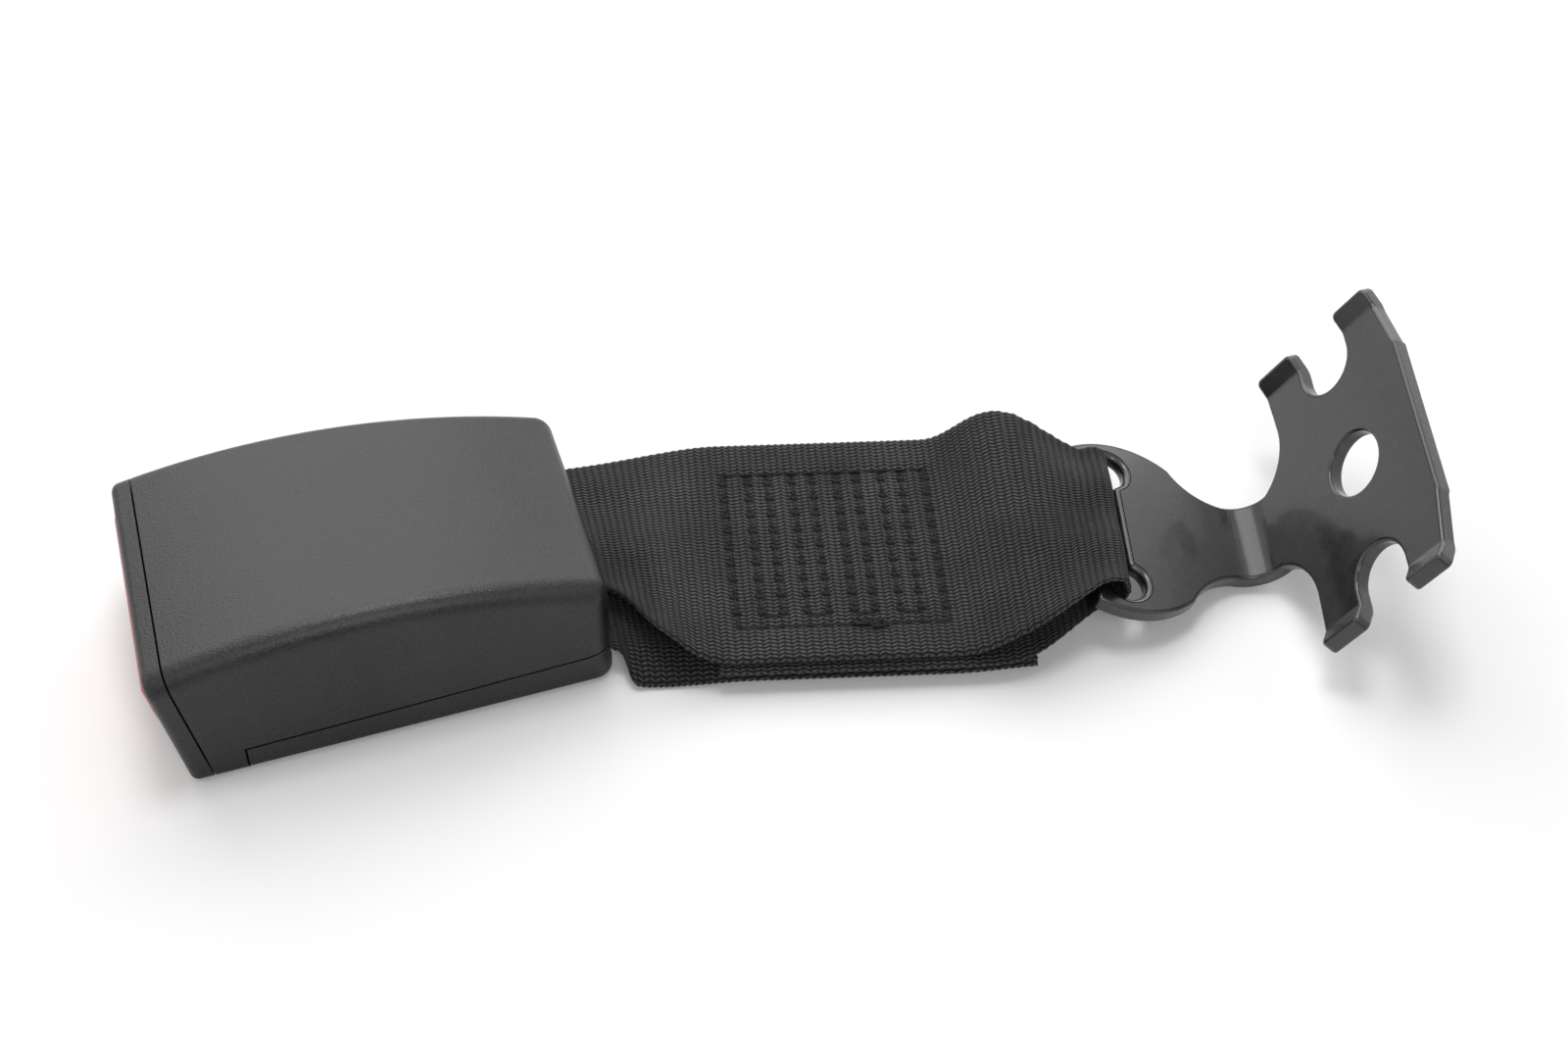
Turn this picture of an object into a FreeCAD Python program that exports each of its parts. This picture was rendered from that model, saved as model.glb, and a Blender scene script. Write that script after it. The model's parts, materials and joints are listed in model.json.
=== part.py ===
import FreeCAD, Part
import math
import os
import Sketcher

# Seat belt buckle on a short sewn strap with a stamped floor bracket.
# Millimetres. +Z up, +X from the button end towards the floor bracket.
# The origin is the middle of the flat foot that the housing rests on.

Vector = FreeCAD.Vector

SIZES = {
    # Housing
    "case_front_width": 50.5,
    "case_taper": 4.3,
    "case_front_height": 24.5,
    "case_rear_height": 21.4,
    "arch_radius": 133.0,
    "mouth_slant": 4.0,
    "cover_wall": 2.2,
    "floor_top": 2.9,
    "foot_height": 0.9,
    "foot_inset": 4.5,
    "foot_front_inset": 20.0,
    "foot_rear_inset": 8.0,
    "top_round": 3.6,
    "rim_round": 1.5,
    "bezel_depth": 3.6,
    "parting_gap": 0.35,
    "spigot_length": 4.0,
    "spigot_clearance": 0.1,
    "seam_start": 13.5,
    "seam_front_height": 5.0,
    "seam_turn": 5.0,
    "seam_turn_height": 6.4,
    "seam_rear_height": 7.2,
    "mouth_margin": 3.55,
    "mouth_bottom": 3.9,
    "mouth_top": 21.2,
    "port_margin": 1.75,
    "strap_port_top": 15.4,
    # Steel frame
    "plate_thick": 2.5,
    "frame_setback": 12.0,
    "way_length": 16.0,
    "frame_floor": 3.4,
    "frame_side_gap": 1.3,
    "wall_run": 4.0,
    "frame_wall_top": 22.0,
    "frame_lip_height": 11.6,
    "shoulder_margin": 1.0,
    "tail_rise": 4.5,
    "tail_run": 8.5,
    "tail_gap": 0.7,
    "belt_bar_width": 4.0,
    "bar_inset": 9.0,
    "belt_slot_margin": 2.7,
    "belt_slot_opening": 3.6,
    "bridge_thick": 1.6,
    "bridge_lead": 2.5,
    "bridge_length": 7.0,
    "tab_length": 3.0,
    "fit_gap": 0.1,
    # Tongue way
    "tongue_gap": 4.6,
    "guide_roof": 1.1,
    "guide_sole": 1.7,
    "guide_margin": 1.2,
    "guide_recess": 0.6,
    "funnel": 1.0,
    # Press button and the lock it moves
    "button_bottom": 12.0,
    "button_gap": 0.4,
    "button_proud": 1.35,
    "button_depth": 9.0,
    "button_travel": 5.0,
    "button_arm_thick": 2.4,
    "button_arm_gap": 0.5,
    "button_arm_bottom": 14.0,
    "button_spring_room": 14.7,
    "lock_pin_setback": 7.0,
    "lock_pin_radius": 1.75,
    "lock_gap": 0.2,
    "slider_length": 8.0,
    "slider_height": 4.4,
    "spring_seat_run": 6.2,
    "spring_seat_thick": 2.0,
    "button_spring_radius": 0.95,
    "button_spring_wire": 0.4,
    "spring_wire_flats": 8,
    "button_spring_turns": 12.0,
    # Latch
    "latch_length": 22.0,
    "pivot_to_bar": 17.0,
    "pivot_z": 15.2,
    "pivot_radius": 1.5,
    "pivot_clearance": 0.06,
    "latch_side_gap": 2.7,
    "latch_top": 16.4,
    "latch_knuckle": 3.2,
    "latch_tooth_length": 2.8,
    "latch_tooth_width": 12.0,
    "latch_tooth_bottom": 10.9,
    "latch_spring_gap": 12.0,
    "latch_spring_wire": 0.6,
    "latch_spring_turns": 6.0,
    "clip_radius": 2.8,
    "clip_thick": 0.6,
    # Ejector
    "ejector_setback": 6.0,
    "ejector_length": 7.0,
    "ejector_width": 13.0,
    "ejector_height": 4.0,
    "ejector_keel": 4.0,
    "ejector_travel": 8.0,
    "ejector_spring_radius": 1.5,
    "ejector_spring_wire": 0.4,
    "ejector_spring_turns": 9.0,
    # Strap of woven webbing
    "strap_thick": 1.24,
    "strap_ply_pitch": 1.45,
    "strap_width": 47.0,
    "strap_bar_play": 1.0,
    "strap_port_play": 2.6,
    "strap_slot_play": 0.46,
    "strap_bulge_width": 45.0,
    "strap_loop_radius": 3.3,
    "strap_reach": 97.5,
    "strap_yaw": 14.5,
    "strap_exit": 11.0,
    "exit_ease": 0.2,
    "seam_begin": 34.0,
    "seam_end": 71.0,
    "strap_bulge": 84.0,
    "seam_height": 7.9,
    "bulge_height": 10.8,
    "slot_height": 12.4,
    "seam_roll": 8.0,
    "bulge_roll": 10.5,
    "slot_roll": 8.7,
    "seam_twist": 11.5,
    "slot_twist": 13.0,
    "bulge_lift": 3.4,
    "edge_droop": 1.6,
    "tail_end": 80.0,
    "inner_end": 30.5,
    # Sewing
    "stitch_box_length": 36.0,
    "stitch_box_width": 33.0,
    "stitch_rows": 10,
    "thread_width": 0.7,
    "thread_height": 0.35,
    "hem_margin": 0.8,
    "thread_gap": 0.2,
    # Floor bracket
    "bracket_thick": 3.0,
    "bracket_bend": 79.0,
    "bend_radius": 4.0,
    "bracket_pitch": 18.7,
    "bracket_neck_width": 15.6,
    "eye_radius": 18.2,
    "eye_centre": 27.0,
    "eye_end": 34.5,
    "eye_turn_angle": 51.7,
    "anchor_bar_width": 3.5,
    "anchor_slot_opening": 3.4,
    "lobe_radius": 3.4,
    "lobe_overlap": 0.34,
    "lobe_spread": 23.8,
    "lobe_centre": 28.2,
    "neck_blend_radius": 13.0,
    "neck_length": 4.5,
    "bolt_hole_radius": 5.8,
    "bolt_hole_height": 27.7,
    "head_top": 15.5,
    "head_edge_width": 32.0,
    "head_step": 0.4,
    "prong_bend": 24.8,
    "prong_length": 5.0,
    "prong_angle": 30.0,
    "notch_radius": 5.6,
    "notch_offset": 22.6,
    "notch_level": -0.6,
    "outer_prong_high": 13.4,
    "outer_prong_low": 5.0,
    "inner_prong_high": -6.2,
    "inner_prong_low": -15.4,
    "shoulder_width": 35.6,
}

# Sizes that follow from the ones above, so that the pieces keep fitting each other
FITS = {
    "case_length": "frame_setback + way_length + latch_length + pivot_to_bar + bar_inset",
    "case_rear_width": "case_front_width - case_taper",
    "foot_front": "-case_length / 2 + foot_front_inset",
    "foot_rear": "case_length / 2 - foot_rear_inset",
    "mouth_width": "case_front_width - 2 * mouth_margin",
    "strap_port_width": "case_rear_width - 2 * port_margin",
    "frame_front": "-case_length / 2 + frame_setback",
    "frame_inner_half": "case_rear_width / 2 - cover_wall - frame_side_gap"
                        " - button_arm_thick - button_arm_gap - plate_thick",
    "frame_inner_width": "2 * frame_inner_half",
    "frame_shoulder": "bridge_x - bridge_length / 2 - shoulder_margin",
    "latch_front": "frame_front + way_length",
    "pivot_x": "latch_front + latch_length",
    "belt_bar_x": "pivot_x + pivot_to_bar",
    "frame_wall_rear": "pivot_x + wall_run",
    "bridge_x": "latch_front - bridge_lead",
    "lock_pin_x": "latch_front + lock_pin_setback",
    "ejector_front": "latch_front + ejector_setback",
    "spring_seat_x": "pivot_x + spring_seat_run",
    "button_arm_end": "spring_seat_x - button_spring_room",
    "tail_start": "belt_bar_x - tail_run",
    "tail_width": "case_rear_width - 2 * cover_wall - 2 * tail_gap",
    "belt_slot_width": "tail_width - 2 * belt_slot_margin",
    "tongue_way_width": "frame_inner_width - 4 * fit_gap",
    "guide_width": "mouth_width - 2 * guide_margin",
    "latch_width": "frame_inner_width - 2 * latch_side_gap",
    "strap_neck_width": "belt_slot_width - 2 * strap_bar_play",
    "strap_port_entry_width": "strap_port_width - 2 * strap_port_play",
    "anchor_slot_half": "lobe_spread / 2 + lobe_radius - lobe_overlap",
    "strap_slot_width": "2 * anchor_slot_half - 2 * strap_slot_play",
}

doc = FreeCAD.newDocument("seat_belt_buckle")
sheet = doc.addObject("Spreadsheet::Sheet", "Sizes")
for row, (alias, number) in enumerate(SIZES.items(), start=1):
    sheet.set("A%d" % row, alias)
    sheet.set("B%d" % row, str(number))
    sheet.setAlias("B%d" % row, alias)
doc.recompute()


def cell(text):
    """Turn the plain names in a formula into references to the sheet."""
    words = ""
    result = ""
    for letter in text + " ":
        if letter.isalnum() or letter == "_":
            words += letter
            continue
        if words in FITS:
            words = "(%s)" % cell(FITS[words])
        result += "Sizes." + words if words in SIZES else words
        result += letter
        words = ""
    return result.strip()


def value(text):
    """Work out a formula of named sizes as a number."""
    return float(sheet.evalExpression(cell(text)))


def size(name):
    """Read one driving or fitted dimension."""
    return value(name)


TURNS = {
    "XY": FreeCAD.Rotation(),
    "XZ": FreeCAD.Rotation(Vector(1, 0, 0), 90),
    "YZ": FreeCAD.Rotation(Vector(0, 1, 0), Vector(0, 0, 1), Vector(1, 0, 0), "XYZ"),
}
NORMALS = {"XY": Vector(0, 0, 1), "XZ": Vector(0, 1, 0), "YZ": Vector(1, 0, 0)}
DEPTHS = {"XY": "z", "XZ": "y", "YZ": "x"}


def draw(sketch, outline, arcs=None):
    """Draw a closed outline whose corners, and the radii of its arcs, follow the sheet."""
    arcs = arcs or {}
    corners = [Vector(value(across), value(along), 0) for across, along in outline]
    count = len(corners)
    starts = []
    ends = []
    for index, first in enumerate(corners):
        second = corners[(index + 1) % count]
        if index not in arcs:
            line = sketch.addGeometry(Part.LineSegment(first, second))
            starts.append((line, 1))
            ends.append((line, 2))
            continue
        radius, side = arcs[index]
        length = value(radius)
        chord = second - first
        half = chord.Length / 2
        rise = length - math.sqrt(max(length * length - half * half, 0.0))
        middle = (first + second) / 2 + Vector(-chord.y, chord.x, 0).normalize() * rise * side
        forward = (middle - first).cross(second - middle).z > 0
        turn = (first, middle, second) if forward else (second, middle, first)
        arc = sketch.addGeometry(Part.Arc(*turn))
        starts.append((arc, 1 if forward else 2))
        ends.append((arc, 2 if forward else 1))
        bend = sketch.addConstraint(Sketcher.Constraint("Radius", arc, length))
        sketch.setExpression("Constraints[%d]" % bend, cell(radius))
    for index in range(count):
        following = starts[(index + 1) % count]
        sketch.addConstraint(Sketcher.Constraint("Coincident", *ends[index], *following))
    for corner, place, formulas in zip(corners, starts, outline):
        for kind, number, formula in zip(("DistanceX", "DistanceY"), corner, formulas):
            pin = sketch.addConstraint(Sketcher.Constraint(kind, -1, 1, *place, number))
            sketch.setExpression("Constraints[%d]" % pin, cell(formula))


def ring(sketch, across, along, radius):
    """Draw a circle whose place and radius follow the sheet."""
    centre = Vector(value(across), value(along), 0)
    circle = sketch.addGeometry(Part.Circle(centre, Vector(0, 0, 1), value(radius)))
    rim = sketch.addConstraint(Sketcher.Constraint("Radius", circle, value(radius)))
    sketch.setExpression("Constraints[%d]" % rim, cell(radius))
    for kind, number, formula in zip(("DistanceX", "DistanceY"), centre, (across, along)):
        pin = sketch.addConstraint(Sketcher.Constraint(kind, -1, 1, circle, 3, number))
        sketch.setExpression("Constraints[%d]" % pin, cell(formula))


def prism(name, plane, outline, start, end, arcs=None):
    """Extrude an outline drawn on a plane from one depth to another."""
    sketch = doc.addObject("Sketcher::SketchObject", name + "_sketch")
    draw(sketch, outline, arcs)
    sketch.Placement = FreeCAD.Placement(Vector(), TURNS[plane])
    sketch.setExpression("Placement.Base." + DEPTHS[plane], cell(start))
    solid = doc.addObject("Part::Extrusion", name)
    solid.Base = sketch
    solid.DirMode = "Custom"
    solid.Dir = NORMALS[plane]
    solid.Solid = True
    solid.setExpression("LengthFwd", cell("(%s) - (%s)" % (end, start)))
    return solid


def block(name, low, high):
    """Make a box between two corners."""
    box = doc.addObject("Part::Box", name)
    for side, axis, first, second in zip(("Length", "Width", "Height"), "xyz", low, high):
        box.setExpression(side, cell("(%s) - (%s)" % (second, first)))
        box.setExpression("Placement.Base." + axis, cell(first))
    return box


def rod(name, axis, place, radius, start, end):
    """Make a cylinder along one axis between two depths; place holds the other two coordinates."""
    turns = {
        "x": FreeCAD.Rotation(Vector(0, 1, 0), 90),
        "y": FreeCAD.Rotation(Vector(1, 0, 0), -90),
        "z": FreeCAD.Rotation(),
    }
    cylinder = doc.addObject("Part::Cylinder", name)
    cylinder.Placement = FreeCAD.Placement(Vector(), turns[axis])
    cylinder.setExpression("Radius", cell(radius))
    cylinder.setExpression("Height", cell("(%s) - (%s)" % (end, start)))
    others = [letter for letter in "xyz" if letter != axis]
    cylinder.setExpression("Placement.Base." + axis, cell(start))
    for letter, formula in zip(others, place):
        cylinder.setExpression("Placement.Base." + letter, cell(formula))
    return cylinder


def join(name, pieces):
    """Fuse pieces into one."""
    whole = doc.addObject("Part::MultiFuse", name)
    whole.Shapes = pieces
    whole.Refine = True
    return whole


def cut(name, base, tools):
    """Cut one or more tools out of a piece."""
    tool = tools[0] if len(tools) == 1 else join(name + "_tools", tools)
    rest = doc.addObject("Part::Cut", name)
    rest.Base = base
    rest.Tool = tool
    rest.Refine = True
    return rest


def meet(name, first, second):
    """Keep what two pieces share."""
    shared = doc.addObject("Part::Common", name)
    shared.Base = first
    shared.Tool = second
    shared.Refine = True
    return shared


def round_edges(name, base, radius, wanted):
    """Round the edges that a test picks by their middle point and direction."""
    doc.recompute()
    rounded = doc.addObject("Part::Fillet", name)
    rounded.Base = base
    picks = []
    for number, edge in enumerate(base.Shape.Edges, start=1):
        if edge.Degenerated:
            continue
        middle = edge.valueAt((edge.FirstParameter + edge.LastParameter) / 2)
        direction = edge.tangentAt((edge.FirstParameter + edge.LastParameter) / 2)
        if wanted(middle, direction, edge):
            picks.append((number, radius, radius))
    rounded.Edges = picks
    doc.recompute()
    return rounded


def solid_feature(name, shape):
    """Keep a shape made from curves as a piece of the document."""
    piece = doc.addObject("Part::Feature", name)
    piece.Shape = shape
    return piece


nodes = {}


def keep(name, piece):
    """Label a finished piece with its node name."""
    piece.Label = name
    nodes[name] = piece
    return piece


# Housing form: arched side view, tapered plan, rounded top and rear edges

FRONT = "(-case_length / 2)"
REAR = "(case_length / 2)"
SPAN = "case_front_width"


def slant(level, offset="0"):
    """Give the x of the leaning front plane, moved back by an offset, at a level."""
    return "%s + mouth_slant * (1 - (%s) / case_front_height) + (%s)" % (FRONT, level, offset)


case_side = prism(
    "case_side", "XZ",
    [(slant("0"), "0"), (REAR, "0"), (REAR, "case_rear_height"), (FRONT, "case_front_height")],
    "-" + SPAN, SPAN, {2: ("arch_radius", -1)},
)
case_plan = prism(
    "case_plan", "XY",
    [(FRONT, "-case_front_width / 2"), (REAR, "-case_rear_width / 2"),
     (REAR, "case_rear_width / 2"), (FRONT, "case_front_width / 2")],
    "0", "2 * case_front_height",
)
case_block = meet("case_block", case_side, case_plan)


def is_top_or_rear(middle, direction, edge):
    """Pick the long top edges, the rear top edge and the two rear corners."""
    rear = middle.x > size("case_length") / 2 - 0.01
    long_top = edge.Length > 0.8 * size("case_length") and middle.z > size("case_rear_height") - 1
    rear_top = rear and middle.z > size("case_rear_height") - 0.01 and abs(direction.y) > 0.9
    rear_corner = rear and abs(direction.z) > 0.9
    return long_top or rear_top or rear_corner


def is_rim(middle, direction, edge):
    """Pick the edges round the front face and the flat underside."""
    lean = size("mouth_slant") * (1 - middle.z / size("case_front_height"))
    front = abs(middle.x + size("case_length") / 2 - lean) < 0.05
    return front or middle.z < 0.01


case_soft = round_edges("case_soft", case_block, size("top_round"), is_top_or_rear)
case_form = round_edges("case_form", case_soft, size("rim_round"), is_rim)

cavity_side = prism(
    "cavity_side", "XZ",
    [(FRONT + " - cover_wall", "floor_top"), (REAR + " - cover_wall", "floor_top"),
     (REAR + " - cover_wall", "case_rear_height - cover_wall"),
     (FRONT + " - cover_wall", "case_front_height - cover_wall")],
    "-" + SPAN, SPAN, {2: ("arch_radius - cover_wall", -1)},
)
cavity_plan = prism(
    "cavity_plan", "XY",
    [(FRONT + " - cover_wall", "-case_front_width / 2 + cover_wall"),
     (REAR, "-case_rear_width / 2 + cover_wall"),
     (REAR, "case_rear_width / 2 - cover_wall"),
     (FRONT + " - cover_wall", "case_front_width / 2 - cover_wall")],
    "0", "2 * case_front_height",
)
cavity = meet("cavity", cavity_side, cavity_plan)


def slab(name, front, back):
    """Make a slab parallel to the leaning front plane between two offsets."""
    low = "-case_front_height / 2"
    high = "2 * case_front_height"
    return prism(
        name, "XZ",
        [(slant(low, front), low), (slant(low, back), low), (slant(high, back), high),
         (slant(high, front), high)],
        "-" + SPAN, SPAN,
    )


mouth = block(
    "mouth",
    (FRONT + " - case_length", "-mouth_width / 2", "mouth_bottom"),
    (FRONT + " + case_length / 3", "mouth_width / 2", "mouth_top"),
)

# Front bezel with a spigot that plugs into both covers

bezel_slab = slab("bezel_slab", "-case_length / 4", "bezel_depth")
bezel_ring = meet("bezel_ring", case_form, bezel_slab)
spigot_slab = slab("spigot_slab", "bezel_depth / 2", "bezel_depth + spigot_length")
spigot_side = prism(
    "spigot_side", "XZ",
    [(FRONT, "floor_top + spigot_clearance"),
     (FRONT + " + case_length / 3", "floor_top + spigot_clearance"),
     (FRONT + " + case_length / 3", "case_front_height - cover_wall - spigot_clearance"),
     (FRONT, "case_front_height - cover_wall - spigot_clearance")],
    "-" + SPAN, SPAN,
)
spigot_plan = prism(
    "spigot_plan", "XY",
    [(FRONT, "-case_front_width / 2 + cover_wall + spigot_clearance"),
     (REAR, "-case_rear_width / 2 + cover_wall + spigot_clearance"),
     (REAR, "case_rear_width / 2 - cover_wall - spigot_clearance"),
     (FRONT, "case_front_width / 2 - cover_wall - spigot_clearance")],
    "0", "2 * case_front_height",
)
spigot_core = meet("spigot_core", spigot_side, spigot_plan)
spigot = meet("spigot", spigot_core, spigot_slab)
bezel_solid = join("bezel_solid", [bezel_ring, spigot])
keep("front_bezel", cut("front_bezel", bezel_solid, [mouth]))

# Upper and lower covers, split along a seam that climbs towards the rear

cover_slab = slab("cover_slab", "bezel_depth + parting_gap", "2 * case_length")
cover_form = meet("cover_form", case_form, cover_slab)
strap_port = block(
    "strap_port",
    (REAR + " - 2 * cover_wall", "-strap_port_width / 2", "floor_top"),
    (REAR + " + cover_wall", "strap_port_width / 2", "strap_port_top"),
)
cover_shell = cut("cover_shell", cover_form, [cavity, strap_port])

SEAM_X = FRONT + " + seam_start"


def seam_outline(gap):
    """Give the side view of what lies below the seam, moved by a gap."""
    return [
        (SEAM_X + " - " + gap, "-case_front_height"),
        (REAR + " + case_length", "-case_front_height"),
        (REAR + " + case_length", "seam_rear_height + " + gap),
        (REAR, "seam_rear_height + " + gap),
        (REAR + " - seam_turn", "seam_turn_height + " + gap),
        (SEAM_X + " - " + gap, "seam_front_height + " + gap),
    ]


below_seam = prism("below_seam", "XZ", seam_outline("0"), "-" + SPAN, SPAN)
below_seam_clear = prism("below_seam_clear", "XZ", seam_outline("parting_gap"), "-" + SPAN, SPAN)

upper_shell = cut("upper_shell", cover_shell, [below_seam_clear])


def spring_seat(side, name):
    """Hang a seat for one return spring from the roof of the upper cover."""
    near = "(frame_inner_width / 2 + plate_thick + button_arm_gap)"
    far = near + " + button_arm_thick + button_arm_gap"
    low, high = (near, far) if side > 0 else ("-(%s)" % far, "-" + near)
    post = block(
        name,
        ("spring_seat_x", low, "button_arm_bottom"),
        ("spring_seat_x + spring_seat_thick", high, "2 * case_front_height"),
    )
    return meet(name + "_trimmed", post, case_form)


seats = [spring_seat(1, "seat_left"), spring_seat(-1, "seat_right")]
keep("upper_cover", join("upper_cover", [upper_shell] + seats))

lower_shell = meet("lower_shell", cover_shell, below_seam)
sole = block(
    "sole",
    (FRONT, "-" + SPAN, "-case_front_height"),
    (REAR + " + case_length", SPAN, "foot_height"),
)
foot = block(
    "foot",
    ("foot_front", "-case_rear_width / 2 + foot_inset", "-case_front_height * 2"),
    ("foot_rear", "case_rear_width / 2 - foot_inset", "case_front_height"),
)
sole_trim = cut("sole_trim", sole, [foot])
lower_trimmed = cut("lower_trimmed", lower_shell, [sole_trim])


def frame_rest(name, side):
    """Make one of the two ribs that the steel frame lies on."""
    low = "frame_inner_width / 2 - 2 * plate_thick"
    high = "frame_inner_width / 2"
    first, second = (low, high) if side > 0 else ("-(%s)" % high, "-(%s)" % low)
    return block(
        name,
        (SEAM_X + " + plate_thick", first, "floor_top - foot_height"),
        ("frame_wall_rear", second, "frame_floor"),
    )


rests = [frame_rest("rest_left", 1), frame_rest("rest_right", -1)]
keep("lower_cover", join("lower_cover", [lower_trimmed] + rests))

# Tongue guide behind the mouth, below the button

WAY_BOTTOM = "frame_floor + plate_thick"
WAY_TOP = "frame_floor + plate_thick + tongue_gap"
guide_core = block(
    "guide_core",
    (FRONT, "-guide_width / 2", WAY_BOTTOM + " - guide_sole"),
    ("frame_front - fit_gap", "guide_width / 2", WAY_TOP + " + guide_roof"),
)
guide_slab = slab("guide_slab", "guide_recess", "case_length")
guide_body = meet("guide_body", guide_core, guide_slab)
tongue_way = block(
    "tongue_way",
    (FRONT, "-tongue_way_width / 2", WAY_BOTTOM),
    ("frame_front + plate_thick", "tongue_way_width / 2", WAY_TOP),
)
funnel_front = slant(WAY_BOTTOM, "guide_recess - funnel")
funnel_cut = prism(
    "funnel_cut", "XZ",
    [(funnel_front, WAY_BOTTOM + " - funnel"),
     (funnel_front + " + 2 * funnel", WAY_BOTTOM),
     (funnel_front + " + 2 * funnel", WAY_TOP),
     (funnel_front, WAY_TOP + " + funnel * 0.8")],
    "-tongue_way_width / 2", "tongue_way_width / 2",
)
keep("mouth_guide", cut("mouth_guide", guide_body, [tongue_way, funnel_cut]))

# Press button with two arms that run back outside the frame

WALL_OUT = "(frame_inner_width / 2 + plate_thick)"
ARM_IN = "(frame_inner_width / 2 + plate_thick + button_arm_gap)"
ARM_OUT = "(frame_inner_width / 2 + plate_thick + button_arm_gap + button_arm_thick)"
BUTTON_TOP = "mouth_top - button_gap"
LOCK_Z = "(latch_top + lock_gap + lock_pin_radius)"

button_slab = slab("button_slab", "-button_proud", "button_depth")
button_core = block(
    "button_core",
    (FRONT + " - mouth_slant", "-mouth_width / 2 + button_gap", "button_bottom"),
    (FRONT + " + case_length / 3", "mouth_width / 2 - button_gap", BUTTON_TOP),
)
button_face = meet("button_face", button_core, button_slab)


def is_button_front(middle, direction, edge):
    """Pick the edges round the pressed face of the button."""
    lean = size("mouth_slant") * (1 - middle.z / size("case_front_height"))
    return middle.x + size("case_length") / 2 - lean < -size("button_proud") + 0.1


button_pad = round_edges("button_pad", button_face, size("rim_round") * 1.4, is_button_front)


def button_arm(name, side):
    """Make one arm of the button with its stub for the return spring."""
    low, high = (ARM_IN, ARM_OUT) if side > 0 else ("-" + ARM_OUT, "-" + ARM_IN)
    bar = block(
        name,
        (slant("button_bottom", "button_depth / 2"), low, "button_arm_bottom"),
        ("button_arm_end", high, BUTTON_TOP),
    )
    middle = "(%s + %s) / 2" % (low, high)
    stub = rod(
        name + "_stub", "x", (middle, SPRING_Z),
        "button_spring_radius - button_spring_wire",
        "button_arm_end - plate_thick", "button_arm_end + plate_thick",
    )
    return [bar, stub]


SPRING_Z = "(pivot_z + clip_radius + button_spring_radius + button_spring_wire / 2 + 2 * fit_gap)"
button_solid = join(
    "button_solid",
    [button_pad] + button_arm("arm_left", 1) + button_arm("arm_right", -1),
)
pin_reach = "(frame_inner_width / 2 + plate_thick + button_arm_gap + button_arm_thick * 0.7)"
pin_bore = rod(
    "pin_bore", "y", ("lock_pin_x", LOCK_Z), "lock_pin_radius + fit_gap / 2",
    "-" + pin_reach + " - fit_gap", pin_reach + " + fit_gap",
)
keep("press_button", cut("press_button", button_solid, [pin_bore]))
keep("lock_pin", rod("lock_pin", "y", ("lock_pin_x", LOCK_Z), "lock_pin_radius",
                     "-" + pin_reach, pin_reach))

slider_block = block(
    "slider_block",
    ("lock_pin_x - slider_length / 2", "-frame_inner_width / 2 + 3 * fit_gap", "latch_top + lock_gap"),
    ("lock_pin_x + slider_length / 2", "frame_inner_width / 2 - 3 * fit_gap",
     "latch_top + lock_gap + slider_height"),
)
slider_bore = rod(
    "slider_bore", "y", ("lock_pin_x", LOCK_Z), "lock_pin_radius + fit_gap / 2",
    "-frame_inner_width", "frame_inner_width",
)
keep("lock_slider", cut("lock_slider", slider_block, [slider_bore]))

# Steel frame: joggled base plate with two side walls, made from one blank


def body_plane(body, role):
    """Find one of a body's own origin planes."""
    return [plane for plane in body.Origin.OriginFeatures if plane.Role == role][0]


def body_sketch(body, name, role, depth="0"):
    """Start a sketch on one of a body's own planes, moved along its normal."""
    sketch = body.newObject("Sketcher::SketchObject", name)
    sketch.AttachmentSupport = [(body_plane(body, role), "")]
    sketch.MapMode = "FlatFace"
    sketch.setExpression("AttachmentOffset.Base.z", cell(depth))
    return sketch


def pad(body, name, sketch, length, side="Symmetric"):
    """Pad a sketch of a body."""
    feature = body.newObject("PartDesign::Pad", name)
    feature.Profile = sketch
    feature.SideType = side
    feature.setExpression("Length", cell(length))
    return feature


def pocket(body, name, sketch, length):
    """Pocket a sketch of a body to both sides of its plane."""
    doc.recompute()
    before = body.Shape.Volume
    feature = body.newObject("PartDesign::Pocket", name)
    feature.Profile = sketch
    feature.SideType = "Symmetric"
    feature.setExpression("Length", cell(length))
    doc.recompute()
    if body.Shape.Volume > before - 0.1:
        raise RuntimeError(name + " cuts nothing")
    return feature


frame = doc.addObject("PartDesign::Body", "frame_channel")
BAR_REAR = "belt_bar_x + belt_bar_width / 2"
BAR_FRONT = "belt_bar_x - belt_bar_width / 2"
plate_side = body_sketch(frame, "plate_side", "XZ_Plane")
draw(plate_side, [
    ("frame_front", "frame_floor"),
    ("tail_start - plate_thick", "frame_floor"),
    ("tail_start + plate_thick / 2", "frame_floor + tail_rise"),
    (BAR_REAR, "frame_floor + tail_rise"),
    (BAR_REAR, "frame_floor + tail_rise + plate_thick"),
    ("tail_start", "frame_floor + tail_rise + plate_thick"),
    ("tail_start - 1.5 * plate_thick", "frame_floor + plate_thick"),
    ("frame_front", "frame_floor + plate_thick"),
])
pad(frame, "plate", plate_side, "tail_width")

wall_side = body_sketch(frame, "wall_side", "XZ_Plane")
draw(wall_side, [
    ("frame_front", "frame_floor"),
    ("frame_wall_rear", "frame_floor"),
    ("frame_wall_rear", "pivot_z + latch_knuckle"),
    ("frame_wall_rear - plate_thick", "pivot_z + 2 * latch_knuckle"),
    ("button_arm_end + plate_thick", "frame_wall_top"),
    ("frame_shoulder", "frame_wall_top"),
    ("frame_shoulder", "frame_lip_height"),
    ("frame_front", "frame_lip_height"),
])
pad(frame, "walls", wall_side, "frame_inner_width + 2 * plate_thick")

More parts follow.
